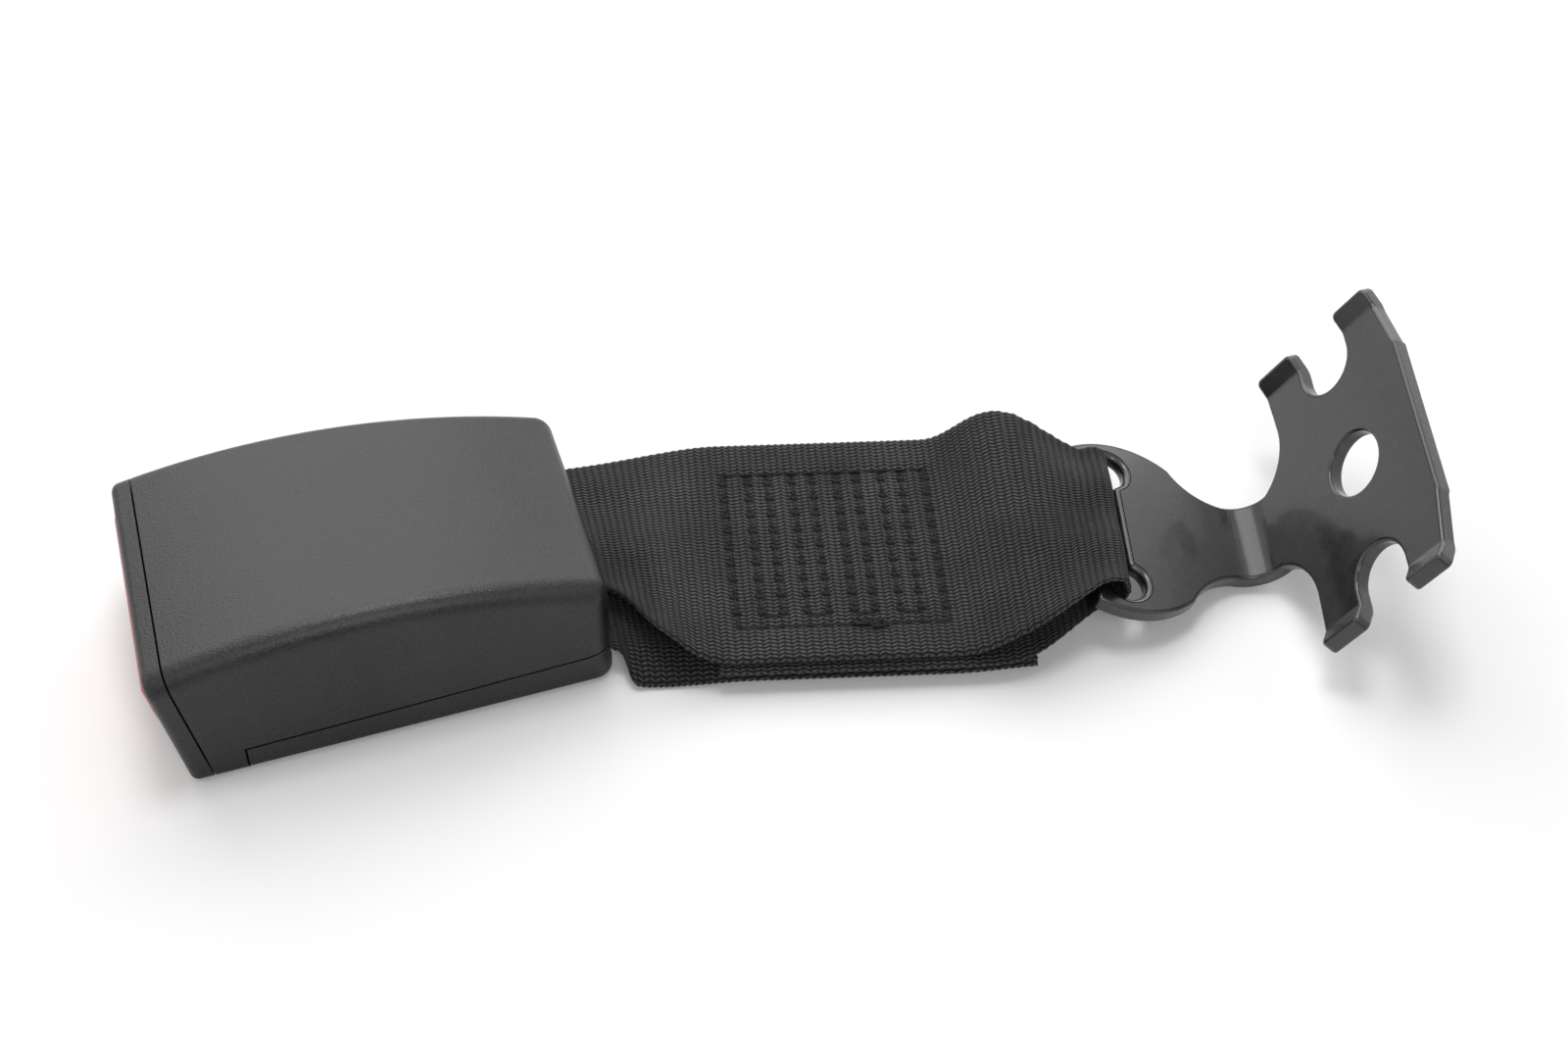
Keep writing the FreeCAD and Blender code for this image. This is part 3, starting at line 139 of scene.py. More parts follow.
def smooth(stations: Stations, distance: float) -> float:
    """Read a smooth curve through stations; a level stretch stays level.

    Args:
        stations: Pairs of distance and number, in order.
        distance: Where to read.

    Returns:
        The number there.
    """
    slopes = []
    for index, (place, number) in enumerate(stations):
        near = stations[max(index - 1, 0):index + 2]
        rise = (near[-1][1] - near[0][1]) / (near[-1][0] - near[0][0])
        level = any(other == number for where, other in near if where != place)
        slopes.append(0.0 if level else rise)
    last = len(stations) - 2
    index = max(i for i in range(last + 1) if i == 0 or distance >= stations[i][0])
    (low, first), (high, second) = stations[index], stations[index + 1]
    width = high - low
    t = min(max((distance - low) / width, 0.0), 1.0)
    rise = (2 * t**3 - 3 * t**2 + 1) * first + (3 * t**2 - 2 * t**3) * second
    lean = (t**3 - 2 * t**2 + t) * slopes[index] + (t**3 - t**2) * slopes[index + 1]
    return rise + lean * width


@dataclass
class Threads:
    """Round threads collected into one mesh.

    Attributes:
        sides: The number of flats round each thread.
        points: The corners so far, in millimetres.
        faces: The faces so far.
    """

    sides: int = 6
    points: list[Vector] = field(default_factory=list)
    faces: list[Face] = field(default_factory=list)

    def lay(self, path: list[Vector], up: Vector, radius: float, taper: float = 0.6) -> None:
        """Lay one closed round thread along a path.

        Args:
            path: The points that it follows.
            up: A direction out of the cloth.
            radius: The thread's radius.
            taper: The share of the radius that is left at its two ends.
        """
        first = len(self.points)
        last = len(path) - 1
        for index, place in enumerate(path):
            ahead = path[min(index + 1, last)] - path[max(index - 1, 0)]
            side = ahead.cross(up).normalized()
            rise = side.cross(ahead).normalized()
            share = taper if index in (0, last) else 1.0
            for step in range(self.sides):
                turn = 2 * math.pi * step / self.sides
                reach = side * math.cos(turn) + rise * math.sin(turn)
                self.points.append(place + reach * radius * share)
        for index in range(last):
            for step in range(self.sides):
                here = first + index * self.sides + step
                beside = first + index * self.sides + (step + 1) % self.sides
                self.faces.append((here, beside, beside + self.sides, here + self.sides))
        self.faces.append(tuple(first + step for step in reversed(range(self.sides))))
        end = first + last * self.sides
        self.faces.append(tuple(end + step for step in range(self.sides)))


# Finishes


class Recipe:
    """A node material in the making, around one Principled shader."""

    def __init__(self, name: str) -> None:
        """Start an empty material.

        Args:
            name: The material's name.
        """
        self.material = bpy.data.materials.new(name)
        self.material.use_nodes = True
        self.tree = self.material.node_tree
        self.shader = self.tree.nodes["Principled BSDF"]

    def set(self, **values: float | tuple[float, ...]) -> None:
        """Set sockets of the shader, where an underscore stands for a space."""
        for name, value in values.items():
            self.shader.inputs[name.replace("_", " ")].default_value = value

    def feed(self, node: bpy.types.Node, name: str | int, source: Source) -> None:
        """Link a socket, or set a number, on one input of a node.

        Args:
            node: The node.
            name: The input's name or number.
            source: The socket or number that it takes.
        """
        if isinstance(source, (int, float, tuple)):
            node.inputs[name].default_value = source
        else:
            self.tree.links.new(source, node.inputs[name])

    def place(self) -> bpy.types.NodeSocket:
        """Give the place on the object, in metres."""
        return self.tree.nodes.new("ShaderNodeTexCoord").outputs["Object"]

    def stretch(self, source: bpy.types.NodeSocket, scale: tuple[float, ...]) -> bpy.types.NodeSocket:
        """Scale a vector along its axes.

        Args:
            source: The vector.
            scale: The factor along each axis.

        Returns:
            The scaled vector.
        """
        node = self.tree.nodes.new("ShaderNodeMapping")
        node.inputs["Scale"].default_value = scale
        self.tree.links.new(source, node.inputs["Vector"])
        return node.outputs["Vector"]

    def noise(self, source: bpy.types.NodeSocket, scale: float, detail: float = 3.0) -> bpy.types.NodeSocket:
        """Give soft noise, from 0 to 1.

        Args:
            source: The place to read it at.
            scale: Its features per metre.
            detail: How many finer layers it has.

        Returns:
            The noise.
        """
        node = self.tree.nodes.new("ShaderNodeTexNoise")
        node.inputs["Scale"].default_value = scale
        node.inputs["Detail"].default_value = detail
        self.tree.links.new(source, node.inputs["Vector"])
        return node.outputs["Fac"]

    def math(self, operation: str, first: Source, second: Source = 0.0) -> bpy.types.NodeSocket:
        """Do one sum on two sockets or numbers.

        Args:
            operation: The kind of sum.
            first: The first socket or number.
            second: The second one, where the sum takes two.

        Returns:
            The answer.
        """
        node = self.tree.nodes.new("ShaderNodeMath")
        node.operation = operation
        self.feed(node, 0, first)
        self.feed(node, 1, second)
        return node.outputs[0]

    def ramp(
        self, source: bpy.types.NodeSocket, low: float, high: float, first: float = 0.0, last: float = 1.0
    ) -> bpy.types.NodeSocket:
        """Map a range of numbers onto another, and hold it at both ends.

        Args:
            source: The number to map.
            low: Where the range starts.
            high: Where the range ends.
            first: What the start becomes.
            last: What the end becomes.

        Returns:
            The mapped number.
        """
        node = self.tree.nodes.new("ShaderNodeMapRange")
        self.feed(node, "Value", source)
        for name, number in (("From Min", low), ("From Max", high), ("To Min", first), ("To Max", last)):
            node.inputs[name].default_value = number
        return node.outputs["Result"]

    def blend(self, share: bpy.types.NodeSocket, first: Colour, second: Colour) -> bpy.types.NodeSocket:
        """Mix two colours.

        Args:
            share: The share of the second colour, from 0 to 1.
            first: The first colour.
            second: The second colour.

        Returns:
            The mixed colour.
        """
        node = self.tree.nodes.new("ShaderNodeMix")
        node.data_type = "RGBA"
        self.tree.links.new(share, node.inputs["Factor"])
        node.inputs[6].default_value = (*first, 1.0)
        node.inputs[7].default_value = (*second, 1.0)
        return node.outputs[2]

    def relief(self, height: bpy.types.NodeSocket, depth: float, strength: float = 1.0) -> None:
        """Raise the surface in the shading.

        Args:
            height: How far it is raised, from 0 to 1.
            depth: What a height of 1 stands for, in metres.
            strength: The share of the relief that shows.
        """
        node = self.tree.nodes.new("ShaderNodeBump")
        node.inputs["Strength"].default_value = strength
        node.inputs["Distance"].default_value = depth
        self.tree.links.new(height, node.inputs["Height"])
        self.tree.links.new(node.outputs["Normal"], self.shader.inputs["Normal"])

    def colour(self, source: bpy.types.NodeSocket) -> None:
        """Link the base colour."""
        self.tree.links.new(source, self.shader.inputs["Base Color"])

    def roughness(self, source: bpy.types.NodeSocket) -> None:
        """Link the roughness."""
        self.tree.links.new(source, self.shader.inputs["Roughness"])


@dataclass(frozen=True)
class MouldedPlastic:
    """A moulded plastic with a fine spark-eroded grain.

    Attributes:
        name: The material's name.
        dark: The colour in the pits of the grain.
        light: The colour on its peaks.
        rough: The roughness at its smoothest and roughest.
        grain: Grain features per metre.
        depth: The depth of the grain, in metres.
        gloss: The specular level.
        cloud: Broad cloudy patches per metre.
        grain_share: The grain's share in the colour, beside the patches.
    """

    name: str
    dark: Colour
    light: Colour
    rough: tuple[float, float] = (0.29, 0.42)
    grain: float = 2600.0
    depth: float = 0.0001
    gloss: float = 0.42
    cloud: float = 55.0
    grain_share: float = 0.6

    def make(self) -> bpy.types.Material:
        """Make the material.

        Returns:
            The material.
        """
        recipe = Recipe(self.name)
        place = recipe.place()
        grain = recipe.noise(place, self.grain, detail=2.0)
        cloud = recipe.noise(place, self.cloud, detail=4.0)
        fine = recipe.math("MULTIPLY", grain, self.grain_share)
        broad = recipe.math("MULTIPLY", cloud, 1.0 - self.grain_share)
        mixed = recipe.math("ADD", fine, broad)
        recipe.colour(recipe.blend(recipe.ramp(mixed, 0.35, 0.65), self.dark, self.light))
        recipe.roughness(recipe.ramp(mixed, 0.3, 0.7, *self.rough))
        recipe.relief(grain, self.depth, 0.8)
        recipe.set(Specular_IOR_Level=self.gloss)
        return recipe.material


@dataclass(frozen=True)
class PlatedSteel:
    """Stamped or drawn steel with a thin bright plating.

    Attributes:
        name: The material's name.
        dark: The colour in its dull patches.
        light: The colour where it is bright.
        rough: The roughness at its smoothest and roughest.
        drawn: How much longer than wide its fine scratches are.
        cloud: Dull patches per metre.
        scratch: Scratches per metre, along them.
        depth: The depth of a scratch, in metres.
    """

    name: str
    dark: Colour
    light: Colour
    rough: tuple[float, float]
    drawn: float = 1.0
    cloud: float = 140.0
    scratch: float = 900.0
    depth: float = 0.00001

    def make(self) -> bpy.types.Material:
        """Make the material.

        Returns:
            The material.
        """
        recipe = Recipe(self.name)
        place = recipe.place()
        cloud = recipe.noise(place, self.cloud, detail=5.0)
        streak = recipe.noise(recipe.stretch(place, (1.0, self.drawn, self.drawn)), self.scratch, detail=2.0)
        recipe.colour(recipe.blend(recipe.ramp(cloud, 0.3, 0.7), self.dark, self.light))
        recipe.roughness(recipe.ramp(streak, 0.3, 0.7, *self.rough))
        recipe.relief(streak, self.depth, 0.6)
        recipe.set(Metallic=1.0)
        return recipe.material


@dataclass(frozen=True)
class BlackCoat:
    """A dipped black coat on steel, glossy on the faces.

    Attributes:
        name: The material's name.
        dark: The colour of the coat.
        light: The colour where it is rubbed thin.
        rough: The roughness at its smoothest and roughest.
        depth: The depth of its unevenness, in metres.
        scale: Marks per metre.
        speck: Specks in a rubbed patch, per metre.
    """

    name: str
    dark: Colour
    light: Colour
    rough: tuple[float, float]
    depth: float
    scale: float = 420.0
    speck: float = 2600.0

    def make(self) -> bpy.types.Material:
        """Make the material.

        Returns:
            The material.
        """
        recipe = Recipe(self.name)
        place = recipe.place()
        peel = recipe.noise(place, self.scale, detail=4.0)
        speck = recipe.ramp(recipe.noise(place, self.speck, detail=1.0), 0.5, 0.8, 0.2, 1.0)
        rubbed = recipe.math("MULTIPLY", recipe.ramp(peel, 0.55, 0.75), speck)
        recipe.colour(recipe.blend(rubbed, self.dark, self.light))
        recipe.roughness(recipe.ramp(peel, 0.3, 0.7, *self.rough))
        recipe.relief(peel, self.depth, 0.7)
        recipe.set(Specular_IOR_Level=0.5, Coat_Weight=0.5, Coat_Roughness=0.08)
        return recipe.material


@dataclass(frozen=True)
class WovenWebbing:
    """Narrow-woven webbing: crosswise ribs of short slanted yarns, read from the cloth's own map.

    The yarns' tops are painted lighter, a painted highlight, and the gaps between them darker,
    painted shade; single fibres carry painted glints. Painted shade darkens the cloth where the
    sewing draws it into pits, read from the cloth's layer of stitch pulls.

    Attributes:
        name: The material's name.
        dark: The colour between the yarns, painted shade.
        light: The colour on top of them, a painted highlight.
        rib: The length of one rib along the strap, in millimetres.
        yarn: The width of one yarn across it, in millimetres.
        slant: How far a yarn leans over its rib, in yarn widths.
        depth: The height of a yarn, in metres.
        wander: How far a rib wanders from its line, in ribs.
        fibre: Fibres per metre, for the relief and the painted glints.
        cloud: Worn patches per metre.
        pulls: The stitch pull where the painted pit shade starts and where it is darkest.
        pit_shade_share: The share of the colour that is left there.
    """

    name: str
    dark: Colour
    light: Colour
    rib: float = 1.2
    yarn: float = 0.75
    slant: float = 0.5
    depth: float = 0.00028
    wander: float = 0.35
    fibre: float = 5200.0
    cloud: float = 90.0
    pulls: tuple[float, float] = (0.16, 0.5)
    pit_shade_share: float = 0.3

    def make(self) -> bpy.types.Material:
        """Make the material.

        Returns:
            The material.
        """
        recipe = Recipe(self.name)
        map_node = recipe.tree.nodes.new("ShaderNodeUVMap")
        map_node.uv_map = WEAVE_MAP
        parts = recipe.tree.nodes.new("ShaderNodeSeparateXYZ")
        recipe.tree.links.new(map_node.outputs["UV"], parts.inputs["Vector"])
        place = recipe.place()
        wobble = recipe.math("MULTIPLY", recipe.noise(place, 260.0), self.wander)
        rib = recipe.math("ADD", recipe.math("DIVIDE", parts.outputs["X"], self.rib), wobble)
        within = recipe.math("FRACT", rib)
        turn = recipe.math("MULTIPLY", recipe.math("PINGPONG", recipe.math("FLOOR", rib), 1.0), 2.0)
        lean = recipe.math("MULTIPLY", recipe.math("SUBTRACT", turn, 1.0), self.slant)
        across = recipe.math("DIVIDE", parts.outputs["Y"], self.yarn)
        stagger = recipe.math("MULTIPLY", turn, 0.25)
        shifted = recipe.math("ADD", across, stagger)
        slanted = recipe.math("ADD", shifted, recipe.math("MULTIPLY", within, lean))
        yarn = recipe.math("ABSOLUTE", recipe.math("SINE", recipe.math("MULTIPLY", slanted, math.pi)))
        crown = recipe.math("SINE", recipe.math("MULTIPLY", within, math.pi))
        ridge = recipe.math("ADD", recipe.math("MULTIPLY", recipe.math("POWER", crown, 0.6), 0.5), 0.5)
        height = recipe.math("MULTIPLY", recipe.math("POWER", yarn, 0.8), ridge)
        fibre = recipe.noise(place, self.fibre, detail=2.0)
        # Painted glints: single fibres lightened in the colour.
        glint = recipe.ramp(fibre, 0.62, 0.72, 0.0, 0.35)
        cloud = recipe.ramp(recipe.noise(place, self.cloud), 0.3, 0.7, 0.75, 1.0)
        drawn = recipe.tree.nodes.new("ShaderNodeAttribute")
        drawn.attribute_name = PULL_LAYER
        # Painted shade in the sewing's pits: darker where the stitches draw the cloth in.
        pit = recipe.ramp(drawn.outputs["Fac"], *self.pulls, 1.0, self.pit_shade_share)
        # Worn patches together with the painted pit shade.
        wear_and_pit_shade = recipe.math("MULTIPLY", cloud, pit)
        shade = recipe.math("MULTIPLY", recipe.math("ADD", height, glint), wear_and_pit_shade)
        # Painted colour: a painted highlight on the yarns' tops and painted shade between them, with painted
        # glints, worn patches and the painted pit shade.
        recipe.colour(recipe.blend(recipe.ramp(shade, 0.45, 1.15), self.dark, self.light))
        recipe.roughness(recipe.ramp(height, 0.0, 1.0, 0.75, 0.42))
        recipe.relief(recipe.math("ADD", height, recipe.math("MULTIPLY", fibre, 0.25)), self.depth)
        recipe.set(Sheen_Weight=0.06, Sheen_Roughness=0.4, Specular_IOR_Level=0.2)
        return recipe.material


@dataclass(frozen=True)
class SewingThread:
    """Twisted polyester thread.

    Attributes:
        name: The material's name.
        dark: The colour in its twist.
        light: The colour on top of it.
        twist: Turns of the twist per metre.
        depth: The depth of the twist, in metres.
    """

    name: str
    dark: Colour
    light: Colour
    twist: float = 2400.0
    depth: float = 0.00004

    def make(self) -> bpy.types.Material:
        """Make the material.

        Returns:
            The material.
        """
        recipe = Recipe(self.name)
        twist = recipe.noise(recipe.place(), self.twist, detail=2.0)
        recipe.colour(recipe.blend(recipe.ramp(twist, 0.35, 0.65), self.dark, self.light))
        recipe.roughness(recipe.ramp(twist, 0.3, 0.7, 0.5, 0.75))
        recipe.relief(twist, self.depth, 0.8)
        recipe.set(Sheen_Weight=0.05, Specular_IOR_Level=0.25)
        return recipe.material


@dataclass
class Finishes:
    """Every finish of the object, each made once.

    Attributes:
        cover: The grained black plastic of the shells and the end cap.
        guide: The smooth black plastic of the pieces inside.
        painted_seam_shade: The near-black of the lip in the shells' seam, painted shade of the seam.
        button: The red plastic of the release button.
        plate: The plated steel of the frame and the latch.
        pin: The turned steel of the pins.
        wire: The drawn wire of the springs.
        coat: The dipped black coat of the floor bracket.
        cut_edge: The same coat, thin over the head's rough cut edge.
        webbing: The black woven webbing.
        thread: The sewing thread.
    """

    cover: bpy.types.Material = field(default_factory=MouldedPlastic(
        "grained_cover_plastic", dark=(0.003, 0.003, 0.0032), light=(0.024, 0.0233, 0.0246)).make)
    guide: bpy.types.Material = field(default_factory=MouldedPlastic(
        "smooth_guide_plastic", dark=(0.010, 0.010, 0.011), light=(0.016, 0.016, 0.017),
        rough=(0.35, 0.45), grain=1800.0, depth=0.00001).make)
    # Near-black and dull: painted shade standing in for the dark of the shells' seam.
    painted_seam_shade: bpy.types.Material = field(default_factory=MouldedPlastic(
        "painted_seam_shade_plastic", dark=(0.002, 0.002, 0.002), light=(0.004, 0.004, 0.004),
        rough=(0.7, 0.8), grain=1800.0, depth=0.00001, gloss=0.05).make)
    button: bpy.types.Material = field(default_factory=MouldedPlastic(
        "red_button_plastic", dark=(0.52, 0.012, 0.010), light=(0.62, 0.020, 0.016),
        rough=(0.3, 0.4), grain=2400.0, depth=0.00001).make)
    plate: bpy.types.Material = field(default_factory=PlatedSteel(
        "plated_frame_steel", dark=(0.42, 0.41, 0.38), light=(0.58, 0.57, 0.54), rough=(0.28, 0.42)).make)
    pin: bpy.types.Material = field(default_factory=PlatedSteel(
        "turned_pin_steel", dark=(0.50, 0.50, 0.50), light=(0.66, 0.66, 0.66),
        rough=(0.16, 0.28), drawn=6.0).make)
    wire: bpy.types.Material = field(default_factory=PlatedSteel(
        "drawn_spring_wire", dark=(0.36, 0.36, 0.37), light=(0.52, 0.52, 0.53),
        rough=(0.22, 0.34), drawn=4.0).make)
    coat: bpy.types.Material = field(default_factory=BlackCoat(
        "black_dipped_coat", dark=(0.0105, 0.0095, 0.0095), light=(0.033, 0.0305, 0.030),
        rough=(0.24, 0.34), depth=0.00003).make)
    cut_edge: bpy.types.Material = field(default_factory=BlackCoat(
        "coated_cut_edge", dark=(0.04, 0.04, 0.041), light=(0.27, 0.27, 0.275),
        rough=(0.34, 0.55), depth=0.0002, scale=1500.0).make)
    # The webbing's light colour is the painted highlight on the yarns' tops, its dark the painted shade
    # between them.
    webbing: bpy.types.Material = field(default_factory=WovenWebbing(
        "black_woven_webbing", dark=(0.0025, 0.0026, 0.003), light=(0.106, 0.107, 0.117)).make)
    thread: bpy.types.Material = field(default_factory=SewingThread(
        "brown_black_thread", dark=(0.0015, 0.0013, 0.0012), light=(0.014, 0.0115, 0.009)).make)


@dataclass
class Housing:
    """The buckle's shells and the mechanism in them, which keep their own shapes.

    Attributes:
        finishes: The finishes to dress them in.
        springs: Each spring that a piece presses on from the front, with that piece's joint and
            its travel in millimetres.
        lip_place: Where the lip between the two shells stands, along the buckle.
        lip_half: Half of the lip's width.
        lip_lean: How far its half width grows with each millimetre upwards.
        lip_low: The lip's lower edge.
        lip_high: The lip's upper edge.
        lip_thick: The lip's thickness.
        lip_round: The radius of the lip's corners.
        lip_corner: How high a corner turns, as a share of the lip's half height.
        lip_profile: The lip's shape through its thickness, as pairs of a place, in halves of the
            thickness, and the share of its size there.
    """

    finishes: Finishes
    springs: tuple[tuple[str, str, float], ...] = (
        ("button_spring_left", "button_press", 5.0),
        ("button_spring_right", "button_press", 5.0),
        ("ejector_spring", "ejector_slide", 8.0),
    )
    lip_place: float = -24.675
    lip_half: float = 24.58
    lip_lean: float = 0.045
    lip_low: float = 0.25
    lip_high: float = 4.9
    lip_thick: float = 0.32
    lip_round: float = 0.5
    lip_corner: float = 0.8
    lip_profile: Stations = ((-1, 0.985), (-0.6, 1.0), (0.6, 1.0), (1, 0.985))

    def close_seam(self) -> bpy.types.Object:
        """Build the thin lip that closes the shells' seam across the front of the foot.

        Returns:
            The lip.
        """
        middle = (self.lip_low + self.lip_high) / 2
        high, low = self.lip_high, self.lip_low
        ring: list[tuple[float, float]] = []
        for side, level, first in ((1, high, 0), (-1, high, 90), (-1, low, 180), (1, low, 270)):
            aside = side * (self.lip_half - self.lip_round)
            base = middle + (level - middle) * self.lip_corner
            for step in range(5):
                turn = math.radians(first + 22.5 * step)
                height = base + self.lip_round * math.sin(turn)
                ring.append((aside + side * self.lip_lean * height + self.lip_round * math.cos(turn), height))
        points: list[Vector] = []
        for side, share in self.lip_profile:
            place = self.lip_place + side * self.lip_thick / 2
            for aside, height in ring:
                points.append(Vector((place, aside * share, middle + (height - middle) * share)))
        count = len(ring)
        last = len(self.lip_profile) - 1
        faces: list[Face] = [tuple(reversed(range(count))), tuple(range(last * count, (last + 1) * count))]
        for row in range(last):
            for step in range(count):
                here, beside = row * count + step, row * count + (step + 1) % count
                faces.append((here, beside, beside + count, here + count))
        # The lip's near-black finish is painted shade, the dark of the seam.
        return make_piece("seam_lip", points, faces, [self.finishes.painted_seam_shade], Body.HOUSING)

    def compress(self) -> None:
        """Give each coil spring its own copy of its mesh."""
        for name, joint, travel in self.springs:
            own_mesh(frame["nodes"][name])

    def dress(self) -> None:
        """Give each kept piece the finish that its record names."""
        by_slot = {
            Slot.COVER: self.finishes.cover,
            Slot.GUIDE: self.finishes.guide,
            Slot.BUTTON: self.finishes.button,
            Slot.FRAME: self.finishes.plate,
            Slot.PIN: self.finishes.pin,
            Slot.SPRING: self.finishes.wire,
            Slot.COATED: self.finishes.coat,
            Slot.WEBBING: self.finishes.webbing,
            Slot.THREAD: self.finishes.thread,
        }
        slots = {part["node"]: part["material_slot"] for part in frame["record"]["subparts"]}
        for name, node in frame["nodes"].items():
            finish = by_slot[Slot(slots[name])]
            for material_slot in node.material_slots:
                material_slot.material = finish
            LOG.info("%s: dressed in %s", name, finish.name)


@dataclass(frozen=True)
class SewingPlan:
    """Where the box of sewing lies on the strap, and how far it draws the cloth in.

    Attributes:
        begin: The first crosswise row's distance from the buckle's bar.
        length: The distance from the first row to the last.
        half: Half of the box's width.
        rows: The number of crosswise rows.
        knots: The knots in each row.
        knot_pitch: The distance between two knots.
        knot_inset: How far inside the box the outermost knot lies.
        wide_share: The wide gap's share of a wide and a narrow gap between rows.
        margins: How far beyond the box, along and across the strap, the cloth is looked at.
        row_pull: The depth and the reach of the furrow along a row.
        knot_pull: The depth of the pit at a knot, and its reach along and across the strap.
        border_pull: The depth and the reach of the furrow along the box's edge.
        border_margin: How far the edge's furrow runs past the box.
    """

    begin: float = 34.5
    length: float = 36.0
    half: float = 16.5
    rows: int = 10
    knots: int = 9
    knot_pitch: float = 3.5
    knot_inset: float = 1.9
    wide_share: float = 0.55
    margins: tuple[float, float] = (3.0, 2.0)
    row_pull: tuple[float, float] = (0.22, 1.1)
    knot_pull: tuple[float, float, float] = (0.36, 0.7, 0.85)
    border_pull: tuple[float, float] = (0.22, 0.8)
    border_margin: float = 0.5

    def row_place(self, row: int) -> float:
        """Give the place of a row; the gaps are wide and narrow in turn.

        Args:
            row: The row's number.

        Returns:
            Its distance from the buckle's bar.
        """
        pairs = self.length / (self.rows / 2 * self.wide_share + (self.rows / 2 - 1) * (1 - self.wide_share))
        wide = (row + 1) // 2
        narrow = row // 2
        return self.begin + pairs * (wide * self.wide_share + narrow * (1 - self.wide_share))

    def knot_place(self, knot: int) -> float:
        """Give how far from the middle a knot lies, from the far side."""
        return self.half - self.knot_inset - self.knot_pitch * knot

    def pull(self, distance: float, aside: float) -> float:
        """Give how far the sewing pulls the cloth in.

        Args:
            distance: How far from the buckle's bar.
            aside: How far from the middle, towards the far edge.

        Returns:
            The depth there.
        """
        finish = self.begin + self.length
        along, across = self.margins
        if not self.begin - along < distance < finish + along or abs(aside) > self.half + across:
            return 0.0
        depth = 0.0
        if abs(aside) < self.half:
            gap = min(abs(distance - self.row_place(row)) for row in range(self.rows))
            knot = (self.half - self.knot_inset - aside) / self.knot_pitch
            away = abs(knot - round(min(max(knot, 0), self.knots - 1))) * self.knot_pitch
            furrow, reach = self.row_pull
            depth += furrow * math.exp(-(gap / reach) ** 2)
            pit, reach, reach_across = self.knot_pull
            depth += pit * math.exp(-(gap / reach) ** 2 - (away / reach_across) ** 2)
        if self.begin - self.border_margin < distance < finish + self.border_margin:
            furrow, reach = self.border_pull
            depth += furrow * math.exp(-(abs(abs(aside) - self.half) / reach) ** 2)
        return depth


@dataclass(frozen=True)
class Section:
    """One cross-section of the strip of webbing.

    Attributes:
        centre: Its middle.
        across: The direction from the near to the far edge.
        outward: The direction out of the strip's outer face.
        upward: The direction out of the strap's upper side.
        width: The strip's width.
        droop: How far its near edge hangs.
        lane: The layer that it belongs to.
        distance: Its distance from the buckle's bar.
    """

    centre: Vector
    across: Vector
    outward: Vector
    upward: Vector
    width: float
    droop: float
    lane: Lane
    distance: float


